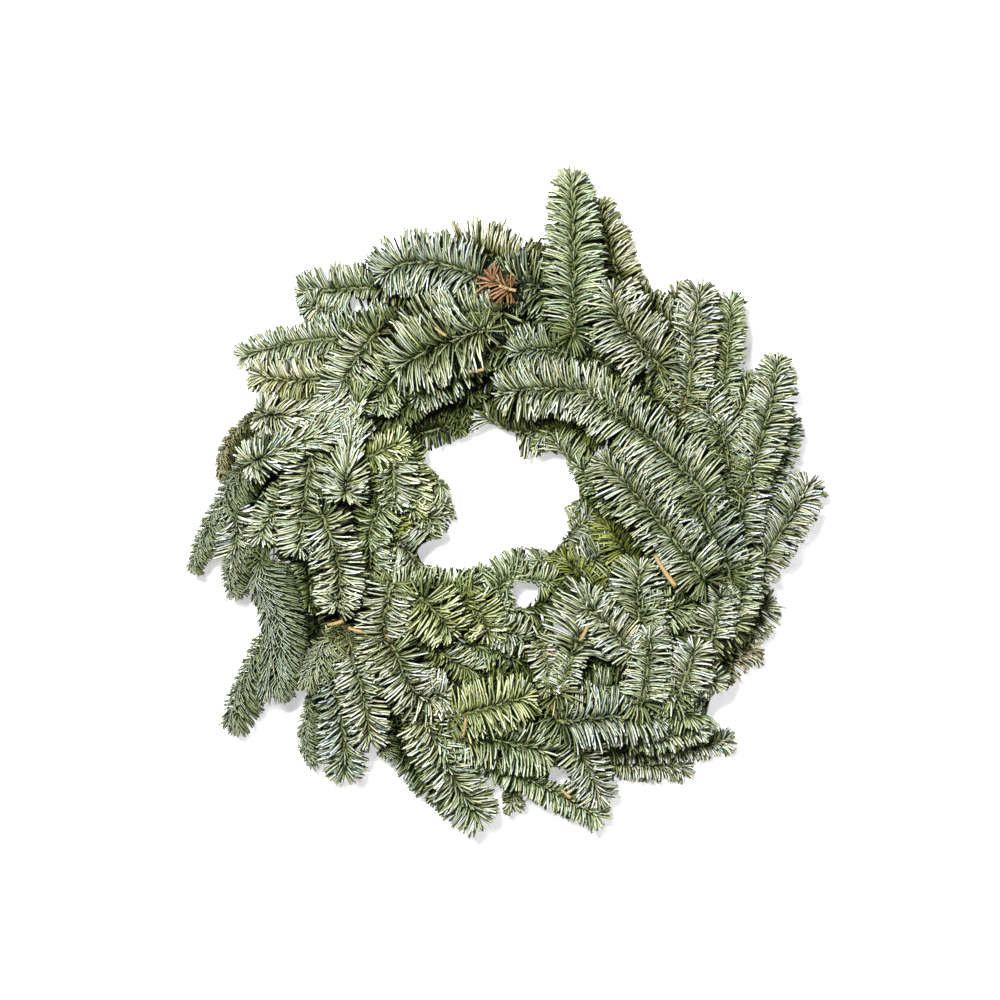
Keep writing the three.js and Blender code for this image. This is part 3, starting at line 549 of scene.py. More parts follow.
def trim_at_openings(batch):
    """Shorten the needles that reach into the hole or a gap, and tell which start there."""
    base = batch["points"][:, 0]
    run = np.concatenate([batch["points"], batch["tips"][:, None]], axis=1) - base[:, None]
    run = np.concatenate([run, (run[:, 1:] + run[:, :-1]) / 2], axis=1)[..., :2]
    share = np.ones(len(base))
    for kind, cores in enumerate(open_cores):
        for place in cores:
            low, high = place.min(0) - LONGEST_NEEDLE, place.max(0) + LONGEST_NEEDLE
            near = ((base[:, :2] > low) & (base[:, :2] < high)).all(1)
            tested = np.flatnonzero(near & (np.arange(len(base)) % len(OPEN_INSETS) == kind))
            for k in TRIM_STEPS:
                ends = base[tested, None, :2] + run[tested] * k
                within = inside(ends.reshape(-1, 2), place).reshape(len(tested), run.shape[1]).any(1)
                share[tested[~within]] = np.minimum(share[tested[~within]], k)
                tested = tested[within]
            share[tested] = 0
    batch["points"] = base[:, None] + (batch["points"] - base[:, None]) * share[:, None, None]
    batch["tips"] = base + (batch["tips"] - base) * share[:, None]
    return share == 0


TWIG_STEPS = 24
TWIG_RADIUS = SIDE_RADIUS * 0.8
TWIG_LENGTHS = (28, 55)
TWIG_LENGTH, TWIG_GROWTH = 26, 1.4      # its length at no gap, and what it gains with the gap
TWIG_REACHES = (13, 19)
TWIG_OVERLAP = 12                   # reach past the gap
TWIG_LAYERS = (1.4, 3.0)
TWIG_TURNS = (0, 0.3, -0.3, 0.6, -0.6, 0.9)       # headings that are tried, from along the swirl
TWIG_SPREAD = 0.15
TWIG_TESTED = np.array([[0.5], [0.2], [-0.2]])    # places along it that must be clear, tip first
TWIG_TONES = ("gray", "side", "pale", "green", "side")
TWIG_ARCH = 2.0
DARK_DROP = 6.0                     # how much lower a twig lies in a dark place
FILL_PITCH = 4.0                    # spacing of the places that are tested for a gap
FILL_LEAST = 2.0                    # a gap under this is left
MOST_FILLS = 120
FILL_SWIRL = 0.45                   # radians that a twig points outwards from round the ring
FILL_INSIDE = 50                    # no place nearer the middle is tested
FACE_HALF = 230
AHEAD = 0.25                        # least share of the way from its root that goes the twig's way
BEHIND = 80.0                       # what any other root counts as further away
COVERING = 8                        # steps of a twig before its needles cover the face
COVER_SHARE = 0.72                  # share of a shoot's reach that its needles cover well
RIM_WINDOW = 0.03                   # radians to either side in which the outermost shoot is looked for
RIM_MARGIN = 9.0

# Small shoots at the edges of the open places and the outline, as pixels like the others.
EDGE_TWIGS = (
    ("cutting_23", shoot("green", (412, 458), (432, 476), (450, 494), 17, 3)),
    ("cutting_22", shoot("pale", (408, 500), (424, 504), (446, 508), 12, 2)),
    ("cutting_36", shoot("olive", (600, 520), (588, 510), (568, 508), 14, 2)),
    ("cutting_42", shoot("green", (470, 600), (478, 582), (486, 566), 16, 3)),
    ("cutting_04", shoot("yel", (632, 296), (646, 291), (660, 288), 15, 2)),
    ("cutting_17", shoot("dry", (512, 292), (496, 285), (480, 276), 16, 5, lean=46, fullness=0.55)),
    ("cutting_11", shoot("pale", (432, 646), (458, 664), (486, 676), 20, 3)),
)


def add_edge_twigs(seats):
    for name, plant in EDGE_TWIGS:
        bare, leafy, _, _ = seats[name][0]
        line = shoot_line(plant, 0, TWIG_STEPS)
        stem = np.vstack([bare[2 * FINER:], leafy])
        root = stem[np.linalg.norm(stem - line[0], axis=1).argmin()]
        seats[name].append((np.vstack([root, (root + line[0]) / 2]), line, TWIG_RADIUS, plant))


def add_twigs(seats, rng):
    """Short leafy twigs off the nearest stems, wherever the shoots leave the face open."""
    samples, reaches, stems = [], [], []
    for name, limbs in sorted(seats.items()):
        for bare, leafy, _, plant in limbs:
            if plant["layer"] > 0:
                samples.append(leafy)
                reaches.append(np.full(len(leafy), plant["reach"] * MM_PER_PIXEL * COVER_SHARE))
            stems += [(name, bare[2 * FINER:]), (name, leafy[:len(leafy) * 2 // 3])]
    where = np.vstack(samples)[:, :2]
    reach = np.concatenate(reaches)
    owners = [name for name, points in stems for _ in points]
    roots = np.vstack([points for _, points in stems])
    angles = np.arctan2(where[:, 1], where[:, 0])
    radii = np.linalg.norm(where, axis=1)

    def in_rim(points):
        around = np.arctan2(points[:, 1], points[:, 0])
        apart = np.abs((around[:, None] - angles[None] + math.pi) % (2 * math.pi) - math.pi)
        rim = np.where(apart < RIM_WINDOW, radii[None], 0).max(1)
        return np.linalg.norm(points, axis=1) < rim - RIM_MARGIN

    side = np.arange(-FACE_HALF, FACE_HALF + 1, FILL_PITCH)
    grid = np.stack(np.meshgrid(side, side), axis=-1).reshape(-1, 2)
    target = in_rim(grid) & ~in_any(grid, open_places) & (np.linalg.norm(grid, axis=1) > FILL_INSIDE)
    grid = grid[target]
    gap = (np.linalg.norm(grid[:, None] - where[None], axis=2) - reach[None]).min(1)
    for _ in range(MOST_FILLS):
        k = int(gap.argmax())
        if gap[k] < FILL_LEAST:
            break
        middle = grid[k]
        size = float(np.clip(TWIG_GROWTH * gap[k] + TWIG_LENGTH, *TWIG_LENGTHS))
        swirl = math.atan2(middle[1], middle[0]) + math.pi / 2 - FILL_SWIRL
        for turn in swirl + np.array(TWIG_TURNS) + rng.normal(0, TWIG_SPREAD):
            heading = np.array([math.cos(turn), math.sin(turn)])
            ends = middle + heading * size * TWIG_TESTED
            if in_rim(ends).all() and not in_any(ends, open_places).any():
                break
        else:
            gap[k] = 0
            continue
        tip = ends[0]
        start = middle - heading * size * 0.5
        away = np.linalg.norm(roots[:, :2] - start, axis=1)
        toward = (middle - roots[:, :2]) @ heading
        ahead = toward > AHEAD * np.linalg.norm(middle - roots[:, :2], axis=1)
        nearest = int(np.where(ahead, away, away + BEHIND).argmin())
        root = roots[nearest]
        rise = shoot_height(np.linalg.norm(tip), rng.uniform(*TWIG_LAYERS))
        twig_reach = float(np.clip(gap[k] + TWIG_OVERLAP, *TWIG_REACHES))
        tone, arch = TWIG_TONES[int(rng.integers(len(TWIG_TONES)))], TWIG_ARCH
        if in_any(middle[None], dark_places)[0]:
            tone, rise, arch = "dark", rise - DARK_DROP, 0
        by = np.array([*middle, (rise + root[2]) / 2 + arch])
        points = bend((root, by, np.array([*tip, rise])), TWIG_STEPS)
        plant = {"tone": tone, "reach": twig_reach / MM_PER_PIXEL, "layer": 0.5}
        seats[owners[nearest]].append((points[:2], points[1:], TWIG_RADIUS, plant))
        new = points[COVERING:, :2]
        covered = (np.linalg.norm(grid[:, None] - new[None], axis=2) - twig_reach * COVER_SHARE).min(1)
        gap = np.minimum(gap, covered)


add_edge_twigs(seats)
add_twigs(seats, np.random.default_rng(31))

# ---------------------------------------------------------------- needles

ring_low, ring_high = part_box("wire_ring")
SHIFT = np.array([(ring_low.x + ring_high.x) / 2, (ring_low.y + ring_high.y) / 2, 0.0]) / MM

NEEDLE_WIDTH = 2.05
NEEDLE_DEPTH = 1.25
WIDTH_RANGE = (0.8, 1.1)
LENGTH_SPREAD = 0.06
BUD_LENGTH_SPREAD = 0.07
LEAFY_DENSITY = 4.9                 # needles for each millimetre of shoot
BARE_DENSITY = 1.2                  # and of the stem below it
BOUND_MARGIN = 4.0                  # bare stem beyond the stretch that is bound
LEAD_IN = 12.0                      # length of the stem before the shoot that is as leafy
LOW_LONGEST = 20.0                  # greatest length of a needle below the shoot
LOW_LENGTH, LOW_LIGHT = 0.85, 0.6   # its length, and its brightness under painted shade, against one on the shoot
LATE_LENGTH = 0.4                   # length of the needles along the late share of a shoot
END_INSET = 0.5                     # where the end needles start, from the tip
BUD_NEEDLES = 40
BUD_SPREAD = 74.0                   # widest angle of a shoot's end needles
BUD_FORWARD = 1.1                   # how far they reach on, against BUD_DEPTH
BUD_OUTWARD = 1.6                   # and to the sides
BUD_POWER = 0.6                     # under 1, more of them point outwards
STAR_NEEDLES = 90
STAR_SPREAD = 112.0                 # the same for a star
STAR_FORWARD = 0.85
STAR_STRETCH = 4.0                  # length of shoot that they start from
UPPER_SHARE = 0.55                  # length of a needle that stands straight up, against one to the side
SIDE_POWER = 1.5
SEATED = 0.6                        # where a needle starts, as a share of the stem's radius
GOLDEN_ANGLE = 2.39996              # radians from each needle to the next round the shoot
TURN_SPREAD = 0.3
ROLL_SPREAD = 0.35
FACE_TILT = 0.5                     # how far the face of an upper needle tilts back along its shoot
CURL, CURL_SPREAD = 0.15, 0.2       # how far needles curl up
CURL_POWER = 1.5
STATIONS = np.array([0, 0.22, 0.58, 0.94])        # cross-sections along a needle
SWELL = np.array([0.55, 0.95, 1.0, 0.8])          # its width at each
STATION_SHADE = np.array([0.5, 0.8, 1.0, 1.05, 1.0])       # its brightness at each, and at the tip: painted shade towards its base
PATH_STEPS = 12
LEAN = 68.0                         # mean angle between a needle and its shoot
LEAN_SPREAD = 5.0
TIP_LEAN = 0.74                     # share of the lean that is left at the tip
WIDEST_TIP_LEAN = 50
NEEDLE_BEND = 16.0                  # degrees that a needle turns either way of its mean angle
BEND_SPREAD = 0.4
BEND_RATE = 4                       # how soon along a needle that turn is made
SIDE_CROWDING = 0.35                # how far needles turn from above and below to the sides
REACH_MARGIN = 1.06                 # traced reach of a shoot against that of its mean needle
TIP_STRETCH = 18.0                  # length of shoot over which its needles close round the bud
TIP_SHORTENING = 0.2
TIP_POWER = 1.3
TAPER_STRETCH = 75.0
TUFT_LEAN = 6.0                     # degrees that the needles of a tuft lean together
TUFT_LENGTH = 7.0                   # length of shoot that a tuft takes
TUFT_GROUP = 3.7                    # tufts in a larger wave
ROPE_WRAP = 2.2                     # radians that a needle of a rope turns round its shoot
ROPE_REACH = 0.81                   # distance from the shoot that it ends at, against its length
ROPE_LEAN = 70.0
ROPE_FACING = 0.7                   # share of its turn that tells which way a needle faces
ROPE_BEND = 4.0
ROPE_CROWDING = 1.7                 # its number of needles and their width, against other shoots'
ROPE_WIDTH = 0.65
ROPE_SPREAD = 0.4                   # how much of the usual variation it has
ROPE_COVER = 0.7
ROPE_LIGHT = (0.6, 0.3)             # its painted light at the sides, and what the top adds
BRIGHT_SPREAD = 0.16
BRIGHT_LIMITS = (0.5, 1.4)
COVER_SHAPE = (4, 1.6)              # of the beta distribution of the bloom's cover
LEAST_COVER = 0.2                   # share of its cover that a needle in painted shade keeps
LOW_LAYER_LIGHT = 0.4               # least share of the painted light in the lowest layer
WARM_SPREAD = 0.05
# A needle's height is -1 straight under its shoot and 1 on top of it. The painted shade under the shoot
# fades from -SHADE_EDGE over SHADE_FADE. Those over CREST_HEIGHT, seen end on, are painted darker.
UNDER_SHADE, TOP_LIGHT = 0.02, 1.02
SHADE_EDGE, SHADE_FADE = 0.34, 0.52
CREST_HEIGHT, CREST_FADE, CREST_SHADE = 0.6, 0.3, 0.3
# Foliage near the ground is seen from the sides: painted light stands in for the light off the floor.
GROUND_HEIGHT = 32.0
GROUND_RANGE = 14.0
GROUND_LIGHT = 0.42
# Painted shade turns the foliage a deeper green: its powers on red, green and blue.
SHADE_POWERS = np.array([1.0, 0.92, 1.7])
# Colours as seen in daylight: the leaf under its bloom, and the bloom of wax on it.
TONES = {
    "pale": ((52, 64, 32), (208, 213, 188)),
    "white": ((57, 67, 40), (217, 219, 199)),
    "blue": ((47, 62, 40), (198, 206, 188)),
    "green": ((50, 66, 30), (197, 205, 172)),
    "yelgreen": ((64, 77, 30), (210, 214, 168)),
    "yel": ((69, 76, 42), (216, 215, 182)),
    "olive": ((49, 59, 17), (156, 162, 86)),
    "gray": ((55, 64, 44), (206, 209, 190)),
    "rope": ((56, 66, 42), (180, 188, 164)),
    "side": ((50, 62, 35), (198, 204, 178)),
    "dark": ((30, 40, 13), (122, 130, 78)),
    "brown": ((72, 71, 49), (196, 192, 166)),
    "dry": ((84, 52, 32), (164, 132, 96)),
}


def linear(rgb):
    c = np.array(rgb) / 255
    return np.where(c <= 0.04045, c / 12.92, ((c + 0.055) / 1.055) ** 2.4)


def smooth(share):
    return share * share * (3 - 2 * share)


class Line:
    """A smooth line with its length, and a point and its directions at any distance along it."""

    def __init__(self, points):
        self.points = points
        pieces = np.linalg.norm(np.diff(points, axis=0), axis=1)
        self.at = np.concatenate([[0], np.cumsum(pieces)])
        self.length = self.at[-1]

    def point(self, s):
        return np.stack([np.interp(s, self.at, self.points[:, k]) for k in range(3)], axis=-1)

    def frame(self, s):
        ahead = unit(self.point(np.minimum(s + 1, self.length)) - self.point(np.maximum(s - 1, 0)))
        across = unit(np.cross((0, 0, 1.0), ahead))
        return self.point(s), ahead, across, np.cross(ahead, across)


def needle_paths(base, ahead, across, up, turn, wrap, angle, bow, length, curl):
    """Stations of each needle, its tip, and the direction along it at each station."""
    n = len(base)
    t = (np.arange(PATH_STEPS) + 0.5) / PATH_STEPS
    a = np.radians(angle[:, None] + bow[:, None] * (1 - 2 * np.exp(-BEND_RATE * t[None])))
    round_it = turn[:, None] + wrap * t[None]
    side = np.cos(round_it)[..., None] * up[:, None] + np.sin(round_it)[..., None] * across[:, None]
    side = unit(side + curl[:, None, None] * (t ** CURL_POWER)[None, :, None] * up[:, None])
    heading = np.cos(a)[..., None] * ahead[:, None] + np.sin(a)[..., None] * side
    run = np.concatenate([np.zeros((n, 1, 3)), np.cumsum(heading, axis=1) / PATH_STEPS], axis=1)
    run *= length[:, None, None]
    where = STATIONS * PATH_STEPS
    low = np.minimum(where.astype(int), PATH_STEPS - 1)
    share = (where - low)[None, :, None]
    points = base[:, None] + run[:, low] * (1 - share) + run[:, low + 1] * share
    return points, base + run[:, -1], heading[:, low]


def grow_needles(line, s, turn, wrap, angle, bow, length, width, curl, roll, radius):
    point, ahead, across, up = line.frame(s)
    radial = np.cos(turn)[:, None] * up + np.sin(turn)[:, None] * across
    base = point + radial * radius[:, None] * SEATED
    points, tips, heading = needle_paths(base, ahead, across, up, turn, wrap, angle, bow, length, curl)
    facing = up - FACE_TILT * np.cos(turn)[:, None] * ahead
    wide = unit(np.cross(np.broadcast_to(facing[:, None], heading.shape), heading))
    flat = unit(np.cross(heading, wide))
    c, s = np.cos(roll)[:, None, None], np.sin(roll)[:, None, None]
    return {"points": points, "tips": tips, "wide": c * wide + s * flat, "flat": c * flat - s * wide,
            "width": width}


def needle_mesh(batch, tone):
    """Corners, faces, the place across and along each needle for each face corner, and colours."""
    points, tips = batch["points"], batch["tips"]
    n, rings = points.shape[:2]
    half = batch["width"][:, None, None] / 2 * SWELL[None, :, None]
    wide, flat = batch["wide"] * half, batch["flat"] * (half * NEEDLE_DEPTH / NEEDLE_WIDTH)
    corners = np.stack([points + wide, points + flat, points - wide, points - flat], axis=2)
    per = rings * 4 + 1
    verts = np.concatenate([corners.reshape(n, rings * 4, 3), tips[:, None]], axis=1)
    quads, quad_uv = [], []
    for i in range(rings - 1):
        v0, v1 = STATIONS[i], STATIONS[i + 1]
        for j in range(4):
            k = (j + 1) % 4
            quads.append((i * 4 + j, i * 4 + k, (i + 1) * 4 + k, (i + 1) * 4 + j))
            quad_uv.append(((j / 4, v0), ((j + 1) / 4, v0), ((j + 1) / 4, v1), (j / 4, v1)))
    quads.append((3, 2, 1, 0))
    quad_uv.append(((1, 0), (0.75, 0), (0.5, 0), (0.25, 0)))
    last, v0 = (rings - 1) * 4, STATIONS[-1]
    tris = [(last + j, last + (j + 1) % 4, rings * 4) for j in range(4)]
    tri_uv = [((j / 4, v0), ((j + 1) / 4, v0), ((j + 0.5) / 4, 1)) for j in range(4)]
    # Painted shade, deepening towards each needle's base.
    shaded_tone = np.repeat(tone[:, None], per, axis=1)
    share = np.append(np.repeat(STATION_SHADE[:rings], 4), STATION_SHADE[rings])[None, :, None]
    shaded_tone[:, :, :6] *= share ** np.tile(SHADE_POWERS, 2)
    offset = (np.arange(n) * per)[:, None, None]
    return {
        "verts": verts.reshape(-1, 3),
        "quads": (np.array(quads)[None] + offset).reshape(-1, 4),
        "tris": (np.array(tris)[None] + offset).reshape(-1, 3),
        "quad_uv": np.tile(np.array(quad_uv), (n, 1, 1)),
        "tri_uv": np.tile(np.array(tri_uv), (n, 1, 1)),
        "quad_cell": np.repeat(np.arange(n), len(quads)),
        "tri_cell": np.repeat(np.arange(n), len(tris)),
        "tone": shaded_tone.reshape(-1, tone.shape[1]),
        "count": n,
    }


def near_ground(height):
    return np.clip((GROUND_HEIGHT - height) / GROUND_RANGE, 0, 1)


def needle_tones(plant, turn, angle, is_low, ground, rng):
    """The leaf's colour, the bloom's and its cover of each needle, with painted light and shade."""
    n, rope = len(turn), plant.get("rope", False)
    leaf, bloom = (linear(c) for c in TONES[plant["tone"]])
    # Painted shade darkens the needles under the shoot and turns them greener.
    height = np.cos(turn) * np.sin(np.radians(angle))
    painted_light = smooth(np.clip((height + SHADE_EDGE) / SHADE_FADE, 0, 1))
    painted_light = painted_light * (1 - CREST_SHADE * np.clip((height - CREST_HEIGHT) / CREST_FADE, 0, 1))
    # A rope's needles get painted light on the side that faces up.
    if rope:
        painted_light = ROPE_LIGHT[0] + ROPE_LIGHT[1] * np.cos(turn + ROPE_FACING * ROPE_WRAP)
    # The lowest layer keeps more of the painted light.
    if plant["layer"] <= 0:
        painted_light = LOW_LAYER_LIGHT + (1 - LOW_LAYER_LIGHT) * painted_light
    # Painted light near the ground.
    painted_light = np.maximum(painted_light, GROUND_LIGHT * ground)
    variation = rng.normal(1, BRIGHT_SPREAD * (ROPE_SPREAD if rope else 1), n).clip(*BRIGHT_LIMITS)
    # Each needle's random tone times its painted light and shade.
    bright = variation * (UNDER_SHADE + (TOP_LIGHT - UNDER_SHADE) * painted_light)
    # Painted shade on the needles of the stem below the shoot.
    bright *= np.where(is_low, LOW_LIGHT, 1.0)
    # Needles in painted shade keep less bloom, which darkens them too.
    cover = (ROPE_COVER if rope else rng.beta(*COVER_SHAPE, n)) * (LEAST_COVER + (1 - LEAST_COVER) * painted_light)
    warm = rng.normal(0, WARM_SPREAD, n)
    shade = np.stack([1 + warm, np.ones(n), 1 - warm], axis=1) * bright[:, None] ** SHADE_POWERS
    return leaf * shade, bloom * shade, cover


def stem_radii(s, radius, bare_length, length):
    return radius + (TIP_RADIUS - radius) * np.clip((s - bare_length) / (length - bare_length), 0, 1)


def limb_needles(bare, leafy, radius, plant, rng):
    """All the needles of one limb, with their tones."""
    star, rope = plant.get("star", False), plant.get("rope", False)
    taper, fullness = plant.get("taper", 0), plant.get("fullness", 1)
    neat, wrap = (ROPE_SPREAD, ROPE_WRAP) if rope else (1.0, 0)
    if star:
        leafy = np.vstack([leafy, leafy[-1] + unit(leafy[-1] - leafy[-2]) * BUD_DEPTH])
    line = Line(np.vstack([bare, leafy]))
    bare_length = Line(np.vstack([bare, leafy[:1]])).length
    lean = plant.get("lean", ROPE_LEAN if rope else LEAN)
    across_share = math.sin(math.radians(lean)) * (ROPE_REACH if rope else 1)
    full = plant["reach"] * plant.get("squeeze", 1) * MM_PER_PIXEL / (REACH_MARGIN * across_share)

    bound = BOUND_LENGTH + BOUND_MARGIN if radius == STEM_RADIUS else 0
    lead_in = max(bound, bare_length - LEAD_IN)
    n_bare = int(max(0, lead_in - bound) * BARE_DENSITY)
    n_lead = int((bare_length - lead_in) * LEAFY_DENSITY * fullness)
    crowding = ROPE_CROWDING if rope else 1
    n_leafy = int((line.length - bare_length) * LEAFY_DENSITY * fullness * crowding)
    n_bud = int((STAR_NEEDLES if star else BUD_NEEDLES) * fullness)
    ends, s = (bound, lead_in, bare_length, line.length), []
    for start, end, count in zip(ends, ends[1:], (n_bare, n_lead, n_leafy)):
        s.append(start + (np.arange(count) + rng.random(count)) / max(1, count) * (end - start))
    s.append(line.length - END_INSET - (STAR_STRETCH * rng.random(n_bud) if star else np.zeros(n_bud)))
    s = np.concatenate(s)
    n = len(s)
    is_low = np.arange(n) < n_bare + n_lead
    is_bud = np.arange(n) >= n_bare + n_lead + n_leafy

    turn = (np.arange(n) * GOLDEN_ANGLE + rng.normal(0, TURN_SPREAD, n)) % (2 * math.pi)
    # Fewer needles stand straight up or down than to the sides, so that the rib shows.
    if not rope:
        turn = turn + SIDE_CROWDING * np.sin(2 * turn)
    near_tip = np.clip(1 - (line.length - s) / TIP_STRETCH, 0, 1) ** TIP_POWER
    angle = lean + (min(WIDEST_TIP_LEAN, TIP_LEAN * lean) - lean) * near_tip
    angle = angle + rng.normal(0, LEAN_SPREAD * neat, n)
    # They lean together in small tufts, not alike on the two sides.
    phase = 2 * math.pi * rng.random(4)
    phase = np.where(np.sin(turn) > 0, phase[0], phase[1])
    small, large = (2 * math.pi * s / step for step in (TUFT_LENGTH, TUFT_GROUP * TUFT_LENGTH))
    angle = angle + TUFT_LEAN * neat * (np.sin(small + phase) + np.sin(large + 2 * phase))
    angle = np.where(is_bud, (STAR_SPREAD if star else BUD_SPREAD) * rng.random(n) ** BUD_POWER, angle)
    bow = (ROPE_BEND if rope else NEEDLE_BEND) * rng.normal(1, BEND_SPREAD * neat, n)

    share = 1 - TIP_SHORTENING * near_tip - taper * np.clip(1 - (line.length - s) / TAPER_STRETCH, 0, 1)
    sideways = np.where(np.cos(turn) > 0, np.abs(np.sin(turn)) ** SIDE_POWER, 1)
    upright = 1 if rope else plant.get("upright", UPPER_SHARE)
    length = full * share * (upright + (1 - upright) * sideways) * rng.normal(1, LENGTH_SPREAD * neat, n)
    length = length * (1 - plant.get("sided", 0) * np.clip(2 * np.sin(turn + ROPE_FACING * wrap), 0, 1))
    # The end needles close the shoot with a rounded tip.
    forward = BUD_DEPTH * (STAR_FORWARD if star else BUD_FORWARD) * (1 - taper)
    outward = min(full, BUD_DEPTH * BUD_OUTWARD) * (1 - taper)
    bud = 1 / np.hypot(np.cos(np.radians(angle)) / forward, np.sin(np.radians(angle)) / outward)
    length = np.where(is_bud, bud * rng.normal(1, BUD_LENGTH_SPREAD, n), length)
    length = np.where(is_low, np.minimum(length, LOW_LONGEST) * LOW_LENGTH, length)
    late = bare_length + plant.get("late", 0) * (line.length - bare_length)
    length = np.where((s > bare_length) & (s < late), length * LATE_LENGTH, length)

    curl = rng.normal(CURL, CURL_SPREAD * neat, n)
    width = NEEDLE_WIDTH * (ROPE_WIDTH if rope else 1) * rng.uniform(*WIDTH_RANGE, n)
    roll = rng.normal(0, ROLL_SPREAD * neat, n)
    batch = grow_needles(line, s, turn, wrap, angle, bow, length, width, curl, roll,
                         stem_radii(s, radius, bare_length, line.length))
    blocked = trim_at_openings(batch)
    tips = batch["tips"]
    keep = ~blocked & (batch["points"][..., 2].min(1) > LOWEST_NEEDLE) & (tips[:, 2] > LOWEST_NEEDLE)
    keep &= ~(in_any(tips[:, :2], open_places) & (is_low | (plant["layer"] < 2)))
    batch = {k: v[keep] for k, v in batch.items()}
    ground = near_ground(batch["points"][:, 0, 2])
    return batch, *needle_tones(plant, turn[keep], angle[keep], is_low[keep], ground, rng)


def cutting_needles(limbs, rng):
    """All the needles of a cutting as one mesh."""
    grown = [limb_needles(*limb, rng) for limb in limbs]
    batch = {k: np.concatenate([g[0][k] for g in grown]) for k in grown[0][0]}
    leaf, bloom, cover = (np.concatenate([g[i] for g in grown]) for i in (1, 2, 3))
    return needle_mesh(batch, np.hstack([leaf, bloom, cover[:, None]]))

# ---------------------------------------------------------------- tubes


def tube_rings(point, across, up, radii, sides):
    a = 2 * math.pi * np.arange(sides) / sides
    spokes = np.cos(a)[None, :, None] * across[:, None] + np.sin(a)[None, :, None] * up[:, None]
    return (point[:, None] + spokes * np.reshape(radii, (-1, 1, 1))).reshape(-1, 3)


def tube_quads(rings, sides, closed=False):
    return [
        (i * sides + j, i * sides + (j + 1) % sides,
         (i + 1) % rings * sides + (j + 1) % sides, (i + 1) % rings * sides + j)
        for i in range(rings if closed else rings - 1) for j in range(sides)
    ]


def tube(line, radii, sides, s):
    """Corners and faces of a round tube along a line, closed at both ends."""
    point, _, across, up = line.frame(s)
    verts = np.vstack([tube_rings(point, across, up, radii, sides), point[:1], point[-1:]])
    start, end = len(verts) - 2, len(verts) - 1
    last = (len(s) - 1) * sides
    tris = []
    for j in range(sides):
        k = (j + 1) % sides
        tris += [(start, k, j), (end, last + j, last + k)]
    return verts, tube_quads(len(s), sides), tris


# ---------------------------------------------------------------- materials


class Nodes:
    """A node tree, and short ways to add to it. A value is a number, a colour or another's output."""

    def __init__(self, tree):
        self.nodes, self.links = tree.nodes, tree.links

    def put(self, socket, value):
        if hasattr(value, "links"):
            self.links.new(value, socket)
        else:
            socket.default_value = value

    def add(self, kind, values, **settings):
        node = self.nodes.new(kind)
        for key, value in settings.items():
            setattr(node, key, value)
        for key, value in values.items():
            self.put(node.inputs[key], value)
        return node

    def attribute(self, name, output):
        return self.add("ShaderNodeAttribute", {}, attribute_name=name).outputs[output]

    def noise(self, **values):
        """Noise fixed to the piece."""
        vector = self.add("ShaderNodeTexCoord", {}).outputs["Object"]
        return self.add("ShaderNodeTexNoise", {"Vector": vector, **values}).outputs["Fac"]

    def spread(self, value, low, high, start=0.0, end=1.0, kind="LINEAR"):
        """From low, where the value is at its start, to high, where it is at its end."""
        values = {"Value": value, "From Min": start, "From Max": end, "To Min": low, "To Max": high}
        return self.add("ShaderNodeMapRange", values, interpolation_type=kind).outputs[0]

    def math(self, operation, a, b):
        return self.add("ShaderNodeMath", {0: a, 1: b}, operation=operation).outputs[0]

    def mix(self, factor, a, b):
        return self.add("ShaderNodeMix", {0: factor, 6: a, 7: b}, data_type="RGBA").outputs[2]

    def bump(self, height, strength, distance):
        values = {"Height": height, "Strength": strength, "Distance": distance}
        return self.add("ShaderNodeBump", values).outputs[0]

    def parts(self, vector):
        return self.add("ShaderNodeSeparateXYZ", {0: vector}).outputs


def new_material(name, shown):
    """The nodes of a new material, and what sets the values of its surface and returns it."""
    material = bpy.data.materials.new(name)
    material.use_nodes = True
    material.diffuse_color = (*shown, 1)
    tree = Nodes(material.node_tree)
    sockets = tree.nodes["Principled BSDF"].inputs

    def finish(values):
        for key, value in values.items():
            tree.put(sockets[key], value)
        return material

    return tree, finish


def opaque(rgb):
    return (*linear(rgb), 1)


def needle_material():
    tree, finish = new_material("fir_needles", (0.25, 0.33, 0.2))
    uv = tree.add("ShaderNodeUVMap", {}, uv_map="needle").outputs["UV"]
    across, along, _ = tree.parts(uv)
    # Wax on both faces, left off the two edges as painted shade there, and thin along the rib down the
    # middle.
    edge = tree.math("PINGPONG", tree.math("MULTIPLY", across, 2.0), 0.5)
    band = tree.spread(edge, 0.0, 1.0, 0.09, 0.33, kind="SMOOTHSTEP")
    quarter = tree.math("PINGPONG", tree.math("MULTIPLY", across, 4.0), 0.5)
    rib = tree.spread(quarter, 0.75, 1.0, 0.0, 0.14, kind="SMOOTHSTEP")
    patches = tree.noise(Scale=420.0, Detail=3.0, Roughness=0.6)
    worn = tree.spread(patches, 0.55, 1.0, 0.3, 0.62)
    ends = tree.spread(along, 0.25, 1.0, 0.0, 0.35, kind="SMOOTHSTEP")
    wax = band
    for other in (rib, worn, ends, tree.attribute("cover", "Fac")):
        wax = tree.math("MULTIPLY", wax, other)
    return finish({
        "Base Color": tree.mix(wax, tree.attribute("leaf", "Color"), tree.attribute("bloom", "Color")),
        "Roughness": tree.spread(wax, 0.55, 0.8),
        "Specular IOR Level": 0.22,
        "Normal": tree.bump(band, 0.35, 0.0002),
    })


